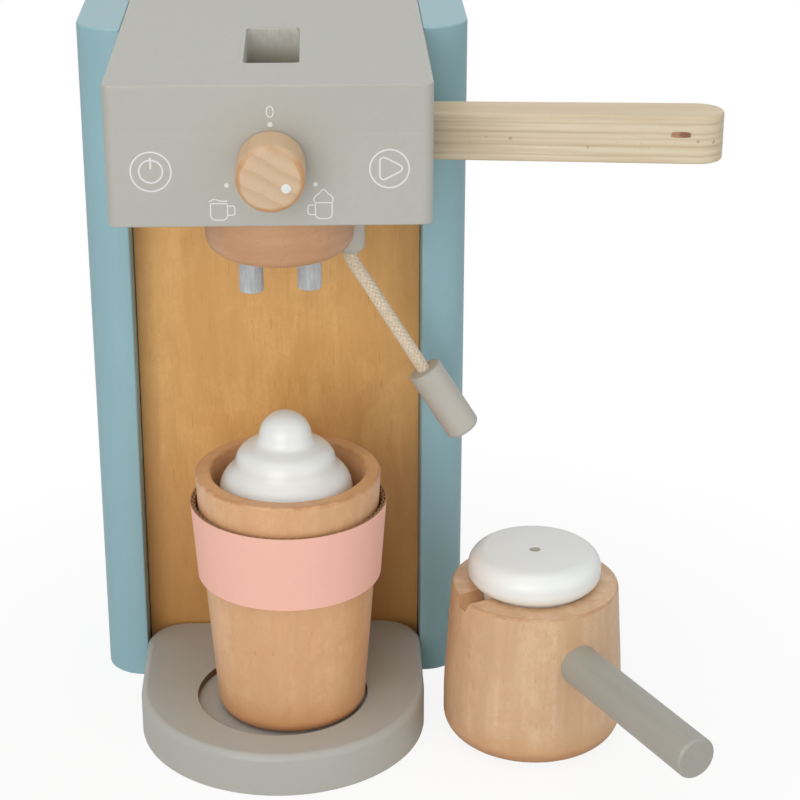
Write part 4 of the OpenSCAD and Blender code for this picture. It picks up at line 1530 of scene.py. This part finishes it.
class TOY_OT_cream(bpy.types.Operator):
    """Turns the white cream with its three soft tiers"""

    bl_idname = "toy.cream"
    bl_label = "Cream"

    def execute(self, context):
        at = Place("whipped_cream")
        low, top = at.low.z, at.high.z
        # Radius, and depth below the top
        tiers = [
            (0, 0), (2.6, 0.33), (5.0, 1.3), (7.2, 2.95), (9.0, 5.3), (10.05, 8.0), (10.45, 10.2),
            (11.5, 12.1), (13.7, 13.3), (16.3, 14.7), (18.4, 16.8), (19.4, 19.2), (19.95, 21.4),
            (21.1, 23.2), (23.2, 25.0), (25.0, 27.6), (25.9, 30.6), (26.1, 33.8), (25.7, 40.0),
        ]
        profile = [(p[0], top - p[1]) for p in smooth_line(tiers, 4)]
        bm = lathe([*profile, (24.9, low + 1.2), (24.0, low), (0, low)])
        bm = placed(bm, at.axis)
        piece(bm, "cream_swirl", "cream", lacquer(), "whipped_cream", "white_paint", 60)
        return {"FINISHED"}


# ---- Jug and foam ----


class TOY_OT_jug(bpy.types.Operator):
    """Turns the milk jug, cuts its notch and fits the handle"""

    bl_idname = "toy.jug"
    bl_label = "Jug"

    def execute(self, context):
        at = Place("jug")
        tall, foot, rim, bore, depth, crisp = at.tall, at.radius, 33.5, 22.5, 12.0, 38
        side = smooth_line([
            (foot, 16), (foot - 0.1, 22), (foot - 0.8, 36), (foot - 1.8, 51), (rim, tall - 1.2),
        ], 4)
        bm = lathe([
            (0, 0.5), (foot - 12, 0.5, 3), (foot - 9.9, 0, 1), (foot, 0, 9.5), *side,
            (rim - 0.3, tall, 0.9), (bore, tall, 0.8), (bore, tall - depth), (0, tall - depth),
        ], 8, 160)
        burnished = (at.mid.x / MM, at.mid.y / MM, rim / MM, at.high.z / MM)
        look = material(
            "jug beech", timber, paints().jug, pith=(-0.06, 0.0, 0), ring=0.008, wander=0.002,
            flecks=0.3, bands=0.15, late=0.05, mottle=0.65, foot=0.018, rims=(burnished,),
        )
        bm = placed(bm, at.axis)
        obj = piece(bm, "milk_jug", "jug", look, "jug", "beech", crisp, even=False)

        # The pouring notch: a groove through the wall, narrower at its floor
        top = Vector((at.mid.x, at.mid.y, at.high.z))
        groove = [(-8.6, 8), (-2.1, -4.5, 0.6), (2.1, -4.5, 0.6), (8.6, 8)]
        turn = Matrix.Rotation(NOTCH_TURN, 4, "Z") @ UPRIGHT
        bm = placed(board(rounded(groove, True, 12), 0, 45), top, turn)
        bmesh.ops.recalc_face_normals(bm, faces=bm.faces)
        cut(obj, bm)
        obj.data.set_sharp_from_angle(angle=math.radians(crisp))
        even_faces(obj)
        tone = [value * share for value, share in zip(paints().jug, (0.9, 0.84, 0.76))]
        out = Vector((math.cos(NOTCH_TURN), math.sin(NOTCH_TURN), 0))

        def in_notch(c, normal):
            c = c - top
            inside = c.dot(out) > bore and abs(c.cross(out).z) < 4.8 and -4.7 < c.z < -0.1
            return inside and abs(normal.dot(out)) < 0.3

        patch(obj, material("sawn notch", timber, tone, flecks=0.5, bands=0.2), in_notch)

        # The handle, drawn upright from the jug's axis: its hidden end, and its reach
        grip = Place("jug_handle")
        start, long, radius = 12.4, 113.0, grip.tall / 2
        bm = lathe([
            (0, start), (radius, start), (radius, long - 1.0, 0.5), (radius - 1.0, long, 0.5),
            (0, long),
        ], 15, 96)
        turn = Matrix.Rotation(HANDLE_TURN, 4, "Z") @ Matrix.Rotation(math.pi / 2, 4, "Y")
        bm = placed(bm, (at.mid.x, at.mid.y, grip.mid.z), turn)
        grey = material("handle paint", handle_paint, paints().handle)
        piece(bm, "jug_grip", "jug", grey, "jug_handle", "silver_paint")
        return {"FINISHED"}


class TOY_OT_foam(bpy.types.Operator):
    """Turns the milk foam that plugs into the jug"""

    bl_idname = "toy.foam"
    bl_label = "Milk foam"

    def execute(self, context):
        at = Place("milk_foam")
        low, top, radius, plug, hole, deep = at.low.z, at.high.z, at.radius, 21.7, 1.9, 1.0
        base = top - 14.0
        bm = lathe([
            (0, low), (plug - 0.8, low), (plug, low + 0.8), (plug, base), (radius, base, 5.3),
            (radius, top, 7.0), (hole + 0.3, top, 0.35), (hole, top - deep), (0, top - deep),
        ], 6)
        bm = placed(bm, at.axis)
        obj = piece(bm, "foam_lid", "foam", lacquer(), "milk_foam", "white_paint", 60)
        # Painted shade: the shallow hole in the foam is drawn grey.
        bare = material("bare hole", card, (0.74, 0.73, 0.7), 0.1)

        def in_hole(c, normal):
            return (c.xy - at.mid.xy).length < hole + 0.15 and c.z > top - deep - 0.05

        patch(obj, bare, in_hole)
        return {"FINISHED"}


class TOY_OT_inner(bpy.types.Operator):
    """Gives the glued dowels, the axle, its keeper and the pin their wood"""

    bl_idname = "toy.inner"
    bl_label = "Inner pieces"

    def execute(self, context):
        quarter = math.pi / 2
        for look, turn, nodes in (
            ("upright birch", (0, 0, 0), ("group_dowel", "lever_pin")),
            ("birch along x", (0, quarter, 0), ("frame_dowels",)),
            ("birch along y", (quarter, 0, 0), ("base_dowels", "knob_axle", "axle_keeper")),
        ):
            for node in nodes:
                slots = frame["nodes"][node].data.materials
                slots.clear()
                slots.append(material(look, timber, paints().birch, turn=turn, flecks=0.15))
        return {"FINISHED"}


class TOY_PT_panel(bpy.types.Panel):
    """Lists the toy's sizes, colours and makers"""

    bl_idname = "TOY_PT_panel"
    bl_label = "Toy coffee maker"
    bl_space_type = "VIEW_3D"
    bl_region_type = "UI"
    bl_category = "Toy"

    def draw(self, context):
        for group in (sizes(), paints()):
            box = self.layout.box()
            for key in group.bl_rna.properties.keys():
                if key not in ("rna_type", "name"):
                    box.prop(group, key)
        for maker in MAKERS:
            self.layout.operator(maker.bl_idname)


MAKERS = (
    TOY_OT_stage, TOY_OT_wand, TOY_OT_posts, TOY_OT_panel, TOY_OT_base, TOY_OT_head,
    TOY_OT_marks, TOY_OT_knob, TOY_OT_outlet, TOY_OT_lever, TOY_OT_cup, TOY_OT_sleeve,
    TOY_OT_cream, TOY_OT_jug, TOY_OT_foam, TOY_OT_inner,
)
CLASSES = (ToyPaints, ToySizes, *MAKERS, TOY_PT_panel)


def register():
    for cls in CLASSES:
        bpy.utils.register_class(cls)
    bpy.types.Scene.toy_paints = PointerProperty(type=ToyPaints)
    bpy.types.Scene.toy_sizes = PointerProperty(type=ToySizes)


def unregister():
    del bpy.types.Scene.toy_paints
    del bpy.types.Scene.toy_sizes
    for cls in reversed(CLASSES):
        bpy.utils.unregister_class(cls)


def main():
    register()
    for maker in MAKERS:
        group, name = maker.bl_idname.split(".")
        getattr(getattr(bpy.ops, group), name)()
    boxes = {"cad": [list(v) for v in CAD_BOX], "visual": [list(v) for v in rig.bounds()]}
    with open("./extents.json", "w") as out:
        json.dump(boxes, out, indent=1)


if __name__ == "__main__":
    main()
